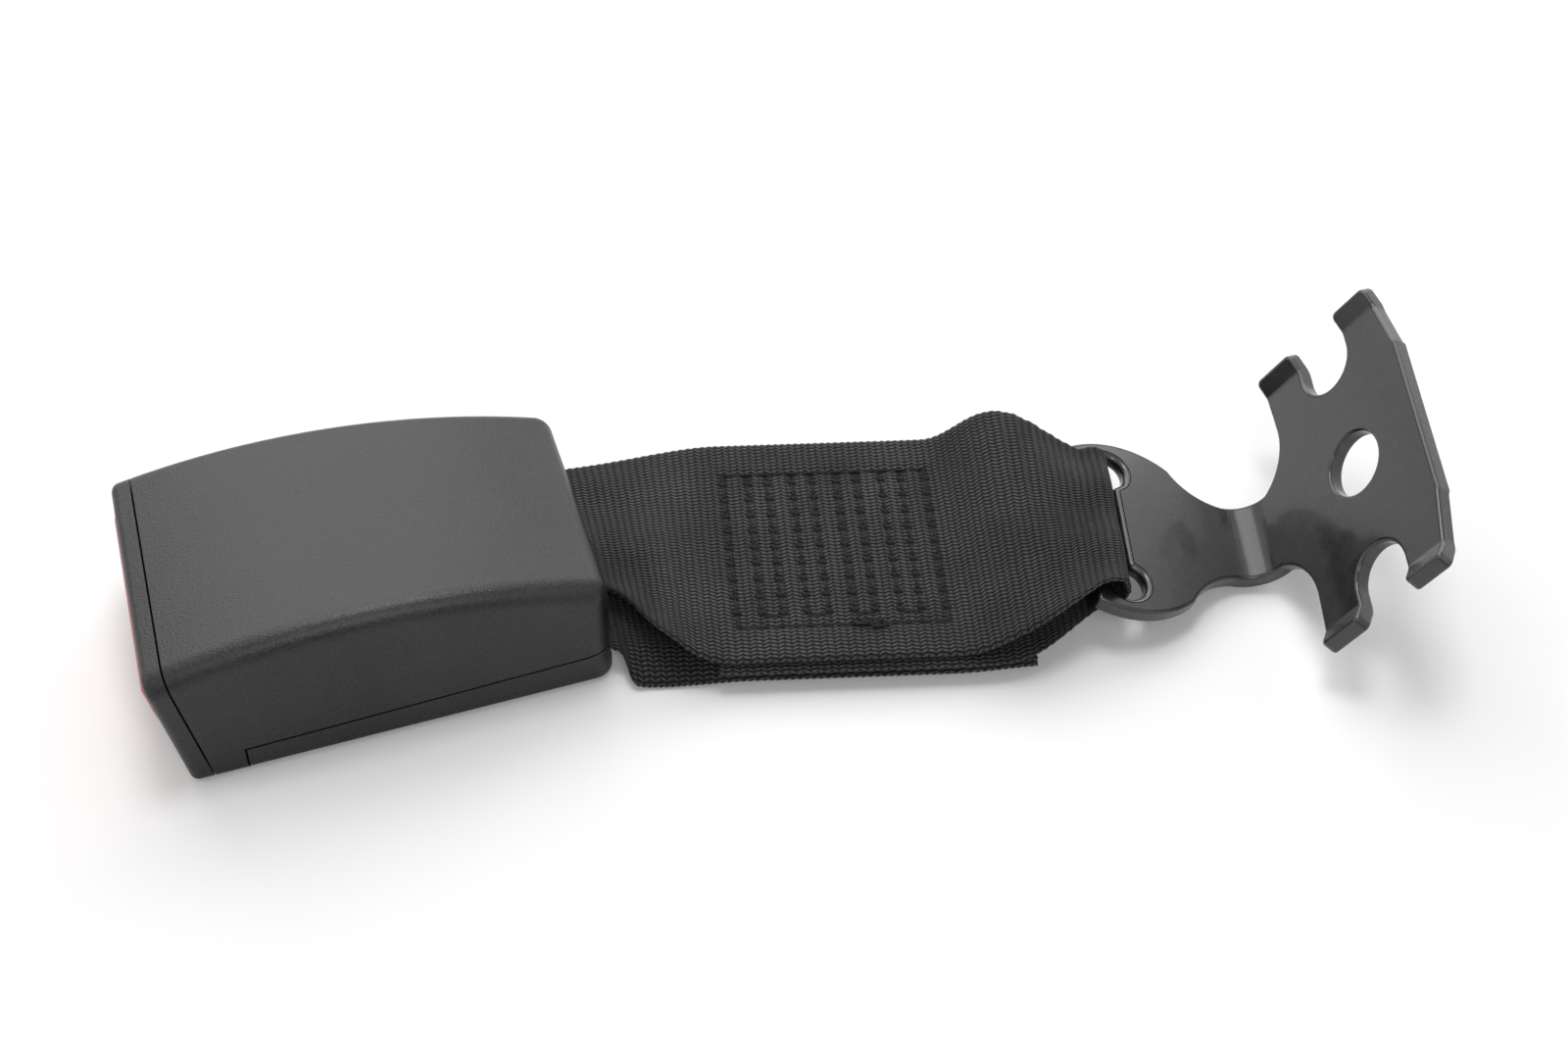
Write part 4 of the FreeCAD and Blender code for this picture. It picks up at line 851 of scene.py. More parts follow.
@dataclass
class Strap:
    """One strip of webbing that loops the buckle's bar and the bracket's bar and is sewn to itself.

    Stations are pairs of a distance from the buckle's bar and a size there.

    Attributes:
        finishes: The finishes to dress it in.
        plan: Where it is sewn.
        thickness: The webbing's thickness.
        cut_width: Its width as woven.
        loop: The radius of its middle line round a bar.
        reach: The distance between the two bars.
        yaw: How far the strap turns from the buckle's own line.
        bar: The middle of the buckle's bar.
        tail_end: Where the low layer ends.
        tail_slant: How much further its far corner reaches than its near one.
        tail_run: The length over which that slant grows.
        inner_end: Where the middle layer ends.
        heights: The height of the strap's middle.
        rolls: How far its far edge is tilted up.
        twists: How far its crosswise direction is turned in plan.
        widths: The width of the upper and the middle layer.
        top_lifts: The upper layer's height over the strap's middle.
        middle_lifts: The middle layer's.
        low_lifts: The low layer's.
        middle_sway: How far the middle layer lies aside of the upper one.
        low_sway: The same of the low layer.
        sway_places: Where a layer starts and where it ceases to lie that far aside.
        rib: The length of one woven rib.
        rib_height: How far a rib stands out of the face.
        hem_rib_height: The same near the edges.
        hem_share: Where the edges start, as a share of the width.
        scallop: How far a rib stands out of the edge.
        selvedge: The width over which the webbing thins towards its edge.
        selvedge_share: The share of its thickness at the edge.
        columns: Faces across the outer side.
        inner_columns: Faces across the inner side.
        step: The distance between two sections.
        hidden_step: The same in the middle layer, which is hidden.
        gather_rise: The height of the folds where the strap is drawn in at a bar.
        gather_turn: How quickly those folds follow one another across it.
        gather_drift: How far they drift along it.
        low_gather: The share of them in the low layer.
        low_widths: The width of the low layer, which opens at once behind the buckle.
        hem: How far from the middle its near edge starts to hang.
        hem_power: How sharply it hangs.
        droops: How far it hangs at its edge.
        tucks: How far the upper layer's near edge is tucked in.
        curls: How far that edge curls down, or up where the number is below 0.
        curl_start: How far from the middle the curl starts.
        swells: The dip and the soft fold of the upper layer's near half.
        swell_start: How far from the middle, on the far side, that fold starts.
        swell_run: The width over which it grows.
        crown_place: Where the upper layer swells before the bracket.
        crown_reach: How far that swell reaches.
        crown_rise: Its height at the far edge.
        crown_near: The share of it at the near edge.
        crease_shift: How far past the swell the fine creases lie.
        crease_reach: How far they reach.
        crease_pitch: The distance between two of them.
        crease_height: Their height.
        crease_bow: How far they bow along the strap.
        crease_turn: How quickly that bow turns across it.
        overhang: How far the webbing stands off the bracket's bar, by the share of its turn.
        tail_yarns: The loose yarn ends at the low layer's cut.
        inner_yarns: The same at the middle layer's cut.
        yarn_lengths: The length of the shortest and the longest.
        yarn_radii: The radius of the finest and the thickest.
        yarn_spread: How far from the middle they stand, as a share of the width.
        yarn_root: How far inside the cut they start.
        yarn_depth: How far from the layer's middle line they start, up or down.
        yarn_sway: How far their ends bend aside.
        yarn_lift: How far their ends bend down and up.
    """

    finishes: Finishes
    plan: SewingPlan = SewingPlan()
    thickness: float = 1.24
    cut_width: float = 47.0
    loop: float = 3.3
    reach: float = 97.5
    yaw: float = 14.5
    bar: tuple[float, float] = (29.0, 0.0)
    tail_end: float = 84.5
    tail_slant: float = 4.0
    tail_run: float = 8.0
    inner_end: float = 30.5
    heights: Stations = ((0, 9.15), (11, 8.95), (34, 7.9), (71, 7.9), (84, 10.8), (97.5, 12.4))
    rolls: Stations = ((0, 0), (11, 2), (34, 8), (71, 8), (84, 10.5), (97.5, 8.7))
    twists: Stations = ((0, 0), (11, 3.83), (34, 11.5), (71, 11.5), (97.5, 13))
    widths: Stations = ((0, 33), (11, 37.5), (34, 47), (71, 47), (84, 45), (97.5, 29))
    top_lifts: Stations = ((0, 3.3), (11, 3.1), (34, 1.45), (71, 1.45), (84, 3.4), (97.5, 3.3))
    middle_lifts: Stations = ((0, 0), (34, 0), (71, 0), (84, -1.65), (97.5, -3.3))
    low_lifts: Stations = ((0, -3.3), (11, -3.3), (34, -1.45), (71, -1.45), (84, -3.3), (97.5, -6.6))
    middle_sway: float = -1.3
    low_sway: float = -0.5
    sway_places: tuple[float, float] = (20.0, 80.0)
    rib: float = 1.2
    rib_height: float = 0.018
    hem_rib_height: float = 0.05
    hem_share: float = 0.42
    scallop: float = 0.10
    selvedge: float = 0.9
    selvedge_share: float = 0.25
    columns: int = 72
    inner_columns: int = 24
    step: float = 0.28
    hidden_step: float = 0.7
    gather_rise: float = 1.6
    gather_turn: float = 15.0
    gather_drift: float = 0.11
    low_gather: float = 0.3
    low_widths: Stations = ((0, 33), (12.2, 38), (13.2, 44.5), (14.6, 47), (71, 47), (97.5, 46))
    hem: float = 17.3
    hem_power: float = 1.3
    droops: Stations = (
        (0, 0), (12.2, 0.1), (13.8, 2.9), (19, 3.2), (26, 2.5), (36, 1.6), (71, 1.6), (97.5, 1.6))
    tucks: Stations = (
        (0, 4), (9, 8.5), (12, 9), (14, 8.2), (16, 5.6), (18, 2.8), (21, 1.0), (26, 0), (97.5, 0))
    curls: Stations = ((0, 0), (8, -0.8), (12, -2.0), (16, -1.8), (22, 0), (28, 0.6), (36, 0), (97.5, 0))
    curl_start: float = 9.0
    swells: Stations = (
        (0, 0), (9, 0), (12.5, -1.2), (16.5, -0.4), (22, 1.6), (27, 1.0), (35, 0), (97.5, 0))
    swell_start: float = 16.0
    swell_run: float = 20.0
    crown_place: float = 86.0
    crown_reach: float = 7.5
    crown_rise: float = 3.2
    crown_near: float = 0.35
    crease_shift: float = 3.0
    crease_reach: float = 4.5
    crease_pitch: float = 2.9
    crease_height: float = 0.16
    crease_bow: float = 0.8
    crease_turn: float = 5.0
    overhang: Stations = ((0, 0), (0.25, 1.4), (0.42, 1.0), (0.6, 0.9), (1, 0))
    tail_yarns: int = 90
    inner_yarns: int = 46
    yarn_lengths: tuple[float, float] = (0.5, 1.6)
    yarn_radii: tuple[float, float] = (0.05, 0.11)
    yarn_spread: float = 0.49
    yarn_root: float = 0.4
    yarn_depth: float = 0.35
    yarn_sway: float = 0.7
    yarn_lift: tuple[float, float] = (-0.25, 0.35)

    def lifts(self, lane: Lane) -> Stations:
        """Give the stations of one layer's height over the strap's middle."""
        return {Lane.TOP: self.top_lifts, Lane.MIDDLE: self.middle_lifts, Lane.LOW: self.low_lifts}[lane]

    def middle(self, distance: float) -> Vector:
        """Give the strap's middle.

        Args:
            distance: How far from the buckle's bar.

        Returns:
            The point there.
        """
        bearing = math.radians(-self.yaw)
        run = Vector((math.cos(bearing), math.sin(bearing), 0)) * distance
        return Vector((*self.bar, smooth(self.heights, distance))) + run

    def across(self, distance: float) -> Vector:
        """Give the direction from the near to the far edge.

        Args:
            distance: How far from the buckle's bar.

        Returns:
            The direction there.
        """
        twist = math.radians(smooth(self.twists, distance))
        roll = math.radians(smooth(self.rolls, distance))
        level = math.cos(roll)
        return Vector((math.sin(twist) * level, math.cos(twist) * level, math.sin(roll)))

    def normal(self, distance: float) -> Vector:
        """Give the direction out of the strap's upper side.

        Args:
            distance: How far from the buckle's bar.

        Returns:
            The direction there.
        """
        low, high = max(distance - 0.5, 0.0), min(distance + 0.5, self.reach)
        ahead = self.middle(high) - self.middle(low)
        return ahead.cross(self.across(distance)).normalized()

    def surface(self, lane: Lane, distance: float, aside: float, lift: float = 0.0) -> Vector:
        """Give a point on or over a layer's face.

        Args:
            lane: The layer.
            distance: How far from the buckle's bar.
            aside: How far from the middle, towards the far edge.
            lift: How far out of the layer's middle line, upwards.

        Returns:
            The point.
        """
        normal = self.normal(distance)
        fall = 0.0
        if lane is Lane.LOW and aside < -self.hem:
            fall = smooth(self.droops, distance) * (-aside - self.hem) / (self.cut_width / 2 - self.hem)
        rise = smooth(self.lifts(lane), distance) + lift - fall
        return self.middle(distance) + self.across(distance) * aside + normal * rise

    def gather(self, lane: Lane, distance: float, share: float) -> float:
        """Give the height of the soft folds where the strap is drawn in at a bar.

        Args:
            lane: The layer.
            distance: How far from the buckle's bar.
            share: The place across, from -0.5 at the near edge to 0.5.

        Returns:
            The height there.
        """
        drawn = 1 - smooth(self.widths, distance) / self.cut_width
        folds = self.gather_rise * drawn * math.sin(share * self.gather_turn + distance * self.gather_drift)
        return folds * (self.low_gather if lane is Lane.LOW else 1.0)

    def swell(self, distance: float, aside: float) -> float:
        """Give the dip and the soft fold of the upper layer's near half behind the buckle.

        Args:
            distance: How far from the buckle's bar.
            aside: How far from the middle, towards the far edge.

        Returns:
            The height there.
        """
        near = min(max((self.swell_start - aside) / self.swell_run, 0.0), 1.0)
        return smooth(self.swells, distance) * near * near * (3 - 2 * near)

    def crown(self, distance: float, share: float) -> float:
        """Give how far the upper layer swells before the bracket, with its fine creases.

        Args:
            distance: How far from the buckle's bar.
            share: The place across, from -0.5 at the near edge to 0.5.

        Returns:
            The height there.
        """
        swell = math.exp(-((distance - self.crown_place) / self.crown_reach) ** 2)
        creases = math.exp(-((distance - self.crown_place - self.crease_shift) / self.crease_reach) ** 2)
        bowed = distance + self.crease_bow * math.sin(share * self.crease_turn)
        ripple = math.sin(2 * math.pi * bowed / self.crease_pitch)
        far = self.crown_near + (1 - self.crown_near) * (share + 0.5)
        return self.crown_rise * swell * far + self.crease_height * creases * ripple

    def curl(self, distance: float, aside: float) -> float:
        """Give how far the upper layer's near edge curls down behind the buckle.

        Args:
            distance: How far from the buckle's bar.
            aside: How far from the middle, towards the far edge.

        Returns:
            The fall there.
        """
        half = smooth(self.widths, distance) / 2
        past = (-aside - self.curl_start) / (half - self.curl_start)
        return smooth(self.curls, distance) * past**2 if past > 0 else 0.0

    def hang(self, droop: float, share: float) -> float:
        """Give how far the low layer's near edge hangs.

        Args:
            droop: How far it hangs at its very edge.
            share: The place across, from -0.5 at the near edge to 0.5.

        Returns:
            The fall there.
        """
        start = self.hem / self.cut_width
        outer = (-share - start) / (0.5 - start)
        return droop * outer**self.hem_power if outer > 0 else 0.0

    def sway(self, lane: Lane, distance: float) -> float:
        """Give how far a layer lies aside of the upper one, between the two loops.

        Args:
            lane: The layer.
            distance: How far from the buckle's bar.

        Returns:
            The distance aside, towards the far edge.
        """
        aside = {Lane.TOP: 0.0, Lane.MIDDLE: self.middle_sway, Lane.LOW: self.low_sway}[lane]
        start, stop = self.sway_places
        return aside * smooth(((0, 0), (start, 1), (stop, 1), (self.reach, 0)), distance)

    def lane_sections(self, first: float, last: float, lane: Lane, step: float) -> list[Section]:
        """Give the sections of one layer.

        Args:
            first: The distance that it starts from.
            last: The distance that it runs to.
            lane: The layer.
            step: The distance between two sections.

        Returns:
            The sections, in order.
        """
        found = []
        low = lane is Lane.LOW
        count = round(abs(last - first) / step)
        for index in range(count + 1):
            distance = first + (last - first) * index / count
            normal = self.normal(distance)
            outward = normal if lane is Lane.TOP else -normal
            centre = self.middle(distance) + normal * smooth(self.lifts(lane), distance)
            width = smooth(self.low_widths if low else self.widths, distance)
            droop = smooth(self.droops, distance) if low else 0.0
            across = self.across(distance)
            found.append(Section(centre, across, outward, normal, width, droop, lane, distance))
        return found

    def loop_sections(self, distance: float, first: float, last: float, overhang: Stations) -> list[Section]:
        """Give the sections of one loop, without its two ends.

        Args:
            distance: The bar's distance from the buckle's bar.
            first: The angle that it starts from.
            last: The angle that it runs to.
            overhang: How far it stands off the bar, by the share of its turn.

        Returns:
            The sections, in order.
        """
        found = []
        across, normal = self.across(distance), self.normal(distance)
        along = across.cross(normal)
        width = smooth(self.widths, distance)
        count = round(math.pi * self.loop / self.step)
        for index in range(1, count):
            angle = math.radians(first + (last - first) * index / count)
            outward = along * math.cos(angle) + normal * math.sin(angle)
            centre = self.middle(distance) + outward * (self.loop + smooth(overhang, index / count))
            found.append(Section(centre, across, outward, normal, width, 0.0, Lane.MIDDLE, distance))
        return found

    def sections(self) -> list[Section]:
        """Give the strip's sections in order, from its tail to its inner end.

        Returns:
            The sections.
        """
        return [
            *self.lane_sections(self.tail_end, 0.0, Lane.LOW, self.step),
            *self.loop_sections(0.0, 270, 90, ((0, 0), (1, 0))),
            *self.lane_sections(0.0, self.reach, Lane.TOP, self.step),
            *self.loop_sections(self.reach, 90, -90, self.overhang),
            *self.lane_sections(self.reach, self.inner_end, Lane.MIDDLE, self.hidden_step),
        ]

    def skin(self, section: Section, ripple: float, face: int, share: float) -> tuple[Vector, float]:
        """Give one corner of the strip's skin.

        Args:
            section: The section that it lies on.
            ripple: The woven rib's height there, from -1 to 1.
            face: 1 on the outer side and -1 on the inner.
            share: The place across, from -0.5 at the near edge to 0.5.

        Returns:
            The corner, and how far the sewing pulls it in.
        """
        lane, distance = section.lane, section.distance
        aside = (section.width + 2 * self.scallop * ripple) * share
        if lane is Lane.TOP and share < 0:
            aside += smooth(self.tucks, distance) * (-2 * share) ** 2
        edge = self.cut_width * (0.5 - abs(share))
        body = min(1.0, math.sqrt(max(edge, 0.0) / self.selvedge))
        height = self.rib_height if abs(share) < self.hem_share else self.hem_rib_height
        thinned = self.selvedge_share + (1 - self.selvedge_share) * body
        half = self.thickness / 2 * thinned + height * ripple * body
        rise = self.gather(lane, distance, share) - self.hang(section.droop, share)
        pull = 0.0
        if lane is Lane.TOP:
            rise += self.crown(distance, share) - self.curl(distance, aside) + self.swell(distance, aside)
            pull = self.plan.pull(distance, aside) if face > 0 else 0.0
        point = section.centre + section.across * (aside + self.sway(lane, distance)) + section.upward * rise
        point += section.outward * ((half - pull) * face)
        if lane is Lane.LOW:
            grown = max(distance - self.tail_end + self.tail_run, 0) / self.tail_run
            point += section.across.cross(section.upward) * (self.tail_slant * grown * (share + 0.5))
        return point, pull

    def build(self) -> bpy.types.Object:
        """Build the strip with its woven ribs, its selvedges and the pits of its sewing.

        Returns:
            The strap.
        """
        points: list[Vector] = []
        chart: list[tuple[float, float]] = []
        pulls: list[float] = []
        run = 0.0
        before = None
        sections = self.sections()
        for section in sections:
            run += 0.0 if before is None else (section.centre - before).length
            before = section.centre
            ripple = math.cos(2 * math.pi * run / self.rib)
            for face, count in ((1, self.columns), (-1, self.inner_columns)):
                for column in range(count + 1):
                    share = (column / count - 0.5) * face
                    point, pull = self.skin(section, ripple, face, share)
                    points.append(point)
                    pulls.append(pull)
                    chart.append((run, self.cut_width * share))
        ring = self.columns + self.inner_columns + 2
        faces: list[Face] = []
        for index in range(len(sections) - 1):
            for step in range(ring):
                here = index * ring + step
                beside = index * ring + (step + 1) % ring
                faces.append((here, here + ring, beside + ring, beside))
        faces.append(tuple(range(ring)))
        faces.append(tuple(reversed(range(len(points) - ring, len(points)))))
        strip = make_piece("strap_webbing", points, faces, [self.finishes.webbing], Body.STRAP)
        weave = strip.data.uv_layers.new(name=WEAVE_MAP)
        corners = [loop.vertex_index for loop in strip.data.loops]
        weave.data.foreach_set("uv", [number for corner in corners for number in chart[corner]])
        drawn = strip.data.attributes.new(name=PULL_LAYER, type="FLOAT", domain="POINT")
        drawn.data.foreach_set("value", pulls)
        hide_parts("webbing")
        LOG.info("strap_webbing: %.1f mm long as cut", run)
        return strip

    def fray(self) -> bpy.types.Object:
        """Build the loose yarn ends at the two cuts of the strip.

        Returns:
            The yarn ends.
        """
        draw = random.Random(7)
        yarns = Threads(sides=5)
        for lane, distance, ahead, count in (
            (Lane.LOW, self.tail_end, 1.0, self.tail_yarns),
            (Lane.MIDDLE, self.inner_end, -1.0, self.inner_yarns),
        ):
            across, up = self.across(distance), self.normal(distance)
            along = across.cross(up)
            for _ in range(count):
                aside = draw.uniform(-self.yarn_spread, self.yarn_spread) * self.cut_width
                lift = draw.uniform(-self.yarn_depth, self.yarn_depth)
                start = self.surface(lane, distance - ahead * self.yarn_root, aside, lift)
                length = draw.uniform(*self.yarn_lengths)
                sway = across * draw.uniform(-self.yarn_sway, self.yarn_sway)
                sway += up * draw.uniform(*self.yarn_lift)
                path = [start + along * (ahead * length * t) + sway * t * t for t in (0.0, 0.35, 0.7, 1.0)]
                yarns.lay(path, up, draw.uniform(*self.yarn_radii), taper=0.5)
        return make_piece("strap_yarn_ends", yarns.points, yarns.faces, [self.finishes.webbing],
                          Body.STRAP)


@dataclass
class Sewing:
    """The box of sewing that closes the strap: crosswise rows of knots and two running rows.

    Attributes:
        strap: The strap that it is sewn through.
        finishes: The finishes to dress it in.
        radius: The thread's radius.
        profile: A stitch's height over the cloth, as a share of its arch, by the share of its run.
        strand_pitch: The distance between two strands of a knot.
        strand_half: Half of a strand's run along the strap.
        strand_lean: How far a strand's end lies aside of its middle.
        knot_slack: How far a knot strays aside, and a link's end along the strap.
        row_slack: How far a knot strays along the strap.
        lean_slack: How far a strand's lean varies.
        knot_arch: How far a knot stands over the cloth.
        link_arch: The same of the thread between two knots.
        link_inset: How far from a knot's middle that thread starts.
        border_arch: The same of the running rows.
        border_stitches: The stitches in each running row.
        border_span: Where such a stitch starts and ends, as shares of their pitch.
        turn_reach: How far past the last knot the thread turns to the next row.
        turn_gap: How far from the rows that turn starts and ends.
        turn_arch: How far it stands over the cloth.
        corner_run: The length of the thread at the box's far corners.
        tangle_place: Where the tangle of thread lies, as a share of the box's length.
        tangle_strands: The strands in it.
        tangle_run: The length of a strand in it.
        tangle_spread: How far before and after its place the strands start.
        tangle_slack: How far from the running row they start.
        tangle_sway: How far they stray aside on their way.
        tangle_lift: How far they lie over the cloth.
        tangle_share: Their radius, as a share of the thread's.
    """

    strap: Strap
    finishes: Finishes
    radius: float = 0.2
    profile: Stations = ((0.0, -0.35), (0.12, 0.1), (0.5, 1.0), (0.88, 0.1), (1.0, -0.35))
    strand_pitch: float = 0.42
    strand_half: float = 0.35
    strand_lean: float = 0.5
    knot_slack: float = 0.15
    row_slack: float = 0.12
    lean_slack: float = 0.1
    knot_arch: float = 0.22
    link_arch: float = 0.05
    link_inset: float = 0.5
    border_arch: float = 0.06
    border_stitches: int = 13
    border_span: tuple[float, float] = (0.08, 0.92)
    turn_reach: float = 0.9
    turn_gap: float = 0.3
    turn_arch: float = 0.08
    corner_run: float = 1.6
    tangle_place: float = 0.60
    tangle_strands: int = 11
    tangle_run: float = 3.0
    tangle_spread: tuple[float, float] = (-4.2, 2.4)
    tangle_slack: float = 0.7
    tangle_sway: float = 0.45
    tangle_lift: tuple[float, float] = (0.05, 0.42)
    tangle_share: float = 0.9

    def stitch(
        self, threads: Threads, lane: Lane, side: int, ends: tuple[tuple[float, float], ...], arch: float
    ) -> None:
        """Lay one stitch that dips into the cloth at both of its ends.

        Args:
            threads: The threads to lay it with.
            lane: The layer that it lies on.
            side: 1 on the upper face and -1 on the lower.
            ends: Its two ends, as distance and place aside.
            arch: How far it stands over the cloth in its middle.
        """
        (start, start_aside), (end, end_aside) = ends
        face = self.strap.thickness / 2
        path = []
        for t, rise in self.profile:
            distance = start + (end - start) * t
            aside = start_aside + (end_aside - start_aside) * t
            pull = self.strap.plan.pull(distance, aside) if side > 0 else 0.0
            lift = (face - pull + rise * arch) * side
            path.append(self.strap.surface(lane, distance, aside, lift))
        threads.lay(path, self.strap.normal(start) * side, self.radius)

    def sew_row(self, threads: Threads, lane: Lane, side: int, row: int, draw: random.Random) -> None:
        """Sew one crosswise row: slanted knots with a thread between them.

        Args:
            threads: The threads to lay it with.
            lane: The layer that it lies on.
            side: 1 on the upper face and -1 on the lower.
            row: The row's number.
            draw: The source of its small unevenness.
        """
        plan = self.strap.plan
        place = plan.row_place(row)
        for knot in range(plan.knots):
            aside = plan.knot_place(knot) + draw.uniform(-self.knot_slack, self.knot_slack)
            shift = draw.uniform(-self.row_slack, self.row_slack)
            for strand in (-1, 0, 1):
                slide = place + shift + strand * self.strand_pitch
                lean = self.strand_lean + draw.uniform(-self.lean_slack, self.lean_slack)
                ends = ((slide - self.strand_half, aside + lean), (slide + self.strand_half, aside - lean))
                self.stitch(threads, lane, side, ends, self.knot_arch)
            if knot + 1 < plan.knots:
                start = aside - self.link_inset
                stop = aside - plan.knot_pitch + self.link_inset
                slack = draw.uniform(-self.knot_slack, self.knot_slack)
                self.stitch(threads, lane, side, ((place, start), (place + slack, stop)), self.link_arch)

    def sew_borders(self, threads: Threads, lane: Lane, side: int) -> None:
        """Sew the running rows along both edges and the links between pairs of rows.

        Args:
            threads: The threads to lay them with.
            lane: The layer that they lie on.
            side: 1 on the upper face and -1 on the lower.
        """
        plan = self.strap.plan
        for aside in (plan.half, -plan.half):
            for index in range(self.border_stitches):
                start, end = (
                    plan.begin + plan.length * (index + share) / self.border_stitches
                    for share in self.border_span)
                self.stitch(threads, lane, side, ((start, aside), (end, aside)), self.border_arch)
        low = plan.knot_place(plan.knots - 1) - self.turn_reach
        for row in range(1, plan.rows - 2, 2):
            start, end = plan.row_place(row) + self.turn_gap, plan.row_place(row + 1) - self.turn_gap
            self.stitch(threads, lane, side, ((start, low), (end, low)), self.turn_arch)
        for row in (0, plan.rows - 1):
            place = plan.row_place(row)
            near = (low + self.turn_gap, -plan.half)
            far = (plan.half, plan.half - self.corner_run)
            for first, last in (near, far):
                self.stitch(threads, lane, side, ((place, first), (place, last)), self.border_arch)

    def tie_off(self, threads: Threads, draw: random.Random) -> None:
        """Lay the small tangle of thread where the sewing was tied off.

        Args:
            threads: The threads to lay it with.
            draw: The source of its disorder.
        """
        plan = self.strap.plan
        middle = plan.begin + plan.length * self.tangle_place
        for _ in range(self.tangle_strands):
            start = middle + draw.uniform(*self.tangle_spread)
            aside = -plan.half + draw.uniform(-self.tangle_slack, self.tangle_slack)
            path = []
            for step in range(6):
                distance = start + self.tangle_run * (step / 5)
                sway = aside + draw.uniform(-self.tangle_sway, self.tangle_sway)
                rise = self.strap.thickness / 2 + draw.uniform(*self.tangle_lift)
                path.append(self.strap.surface(Lane.TOP, distance, sway, rise))
            threads.lay(path, self.strap.normal(middle), self.radius * self.tangle_share)

    def build(self) -> list[bpy.types.Object]:
        """Build the sewing on both faces.

        Returns:
            The upper and the lower sewing.
        """
        pieces = []
        for name, node, lane, side in (
            ("sewing_upper", "stitch_rows_top", Lane.TOP, 1),
            ("sewing_lower", "stitch_rows_under", Lane.LOW, -1),
        ):
            draw = random.Random(11)
            threads = Threads()
            for row in range(self.strap.plan.rows):
                self.sew_row(threads, lane, side, row, draw)
            self.sew_borders(threads, lane, side)
            if side > 0:
                self.tie_off(threads, draw)
            piece = make_piece(name, threads.points, threads.faces, [self.finishes.thread],
                               Body.STRAP)
            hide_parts(node)
            pieces.append(piece)
        return pieces


@dataclass
class Rim:
    """One loop of the bracket's sheet, and the corners of the rounded wall that follows it.

    Attributes:
        ring: The loop where the flat faces start, on the flat sheet.
        front: The corners that the front face joins.
        back: The corners that the back face joins.
        cut: The faces of the wall's rough part, at the head's top.
    """

    ring: list[Vector]
    front: list[int]
    back: list[int]
    cut: list[int]


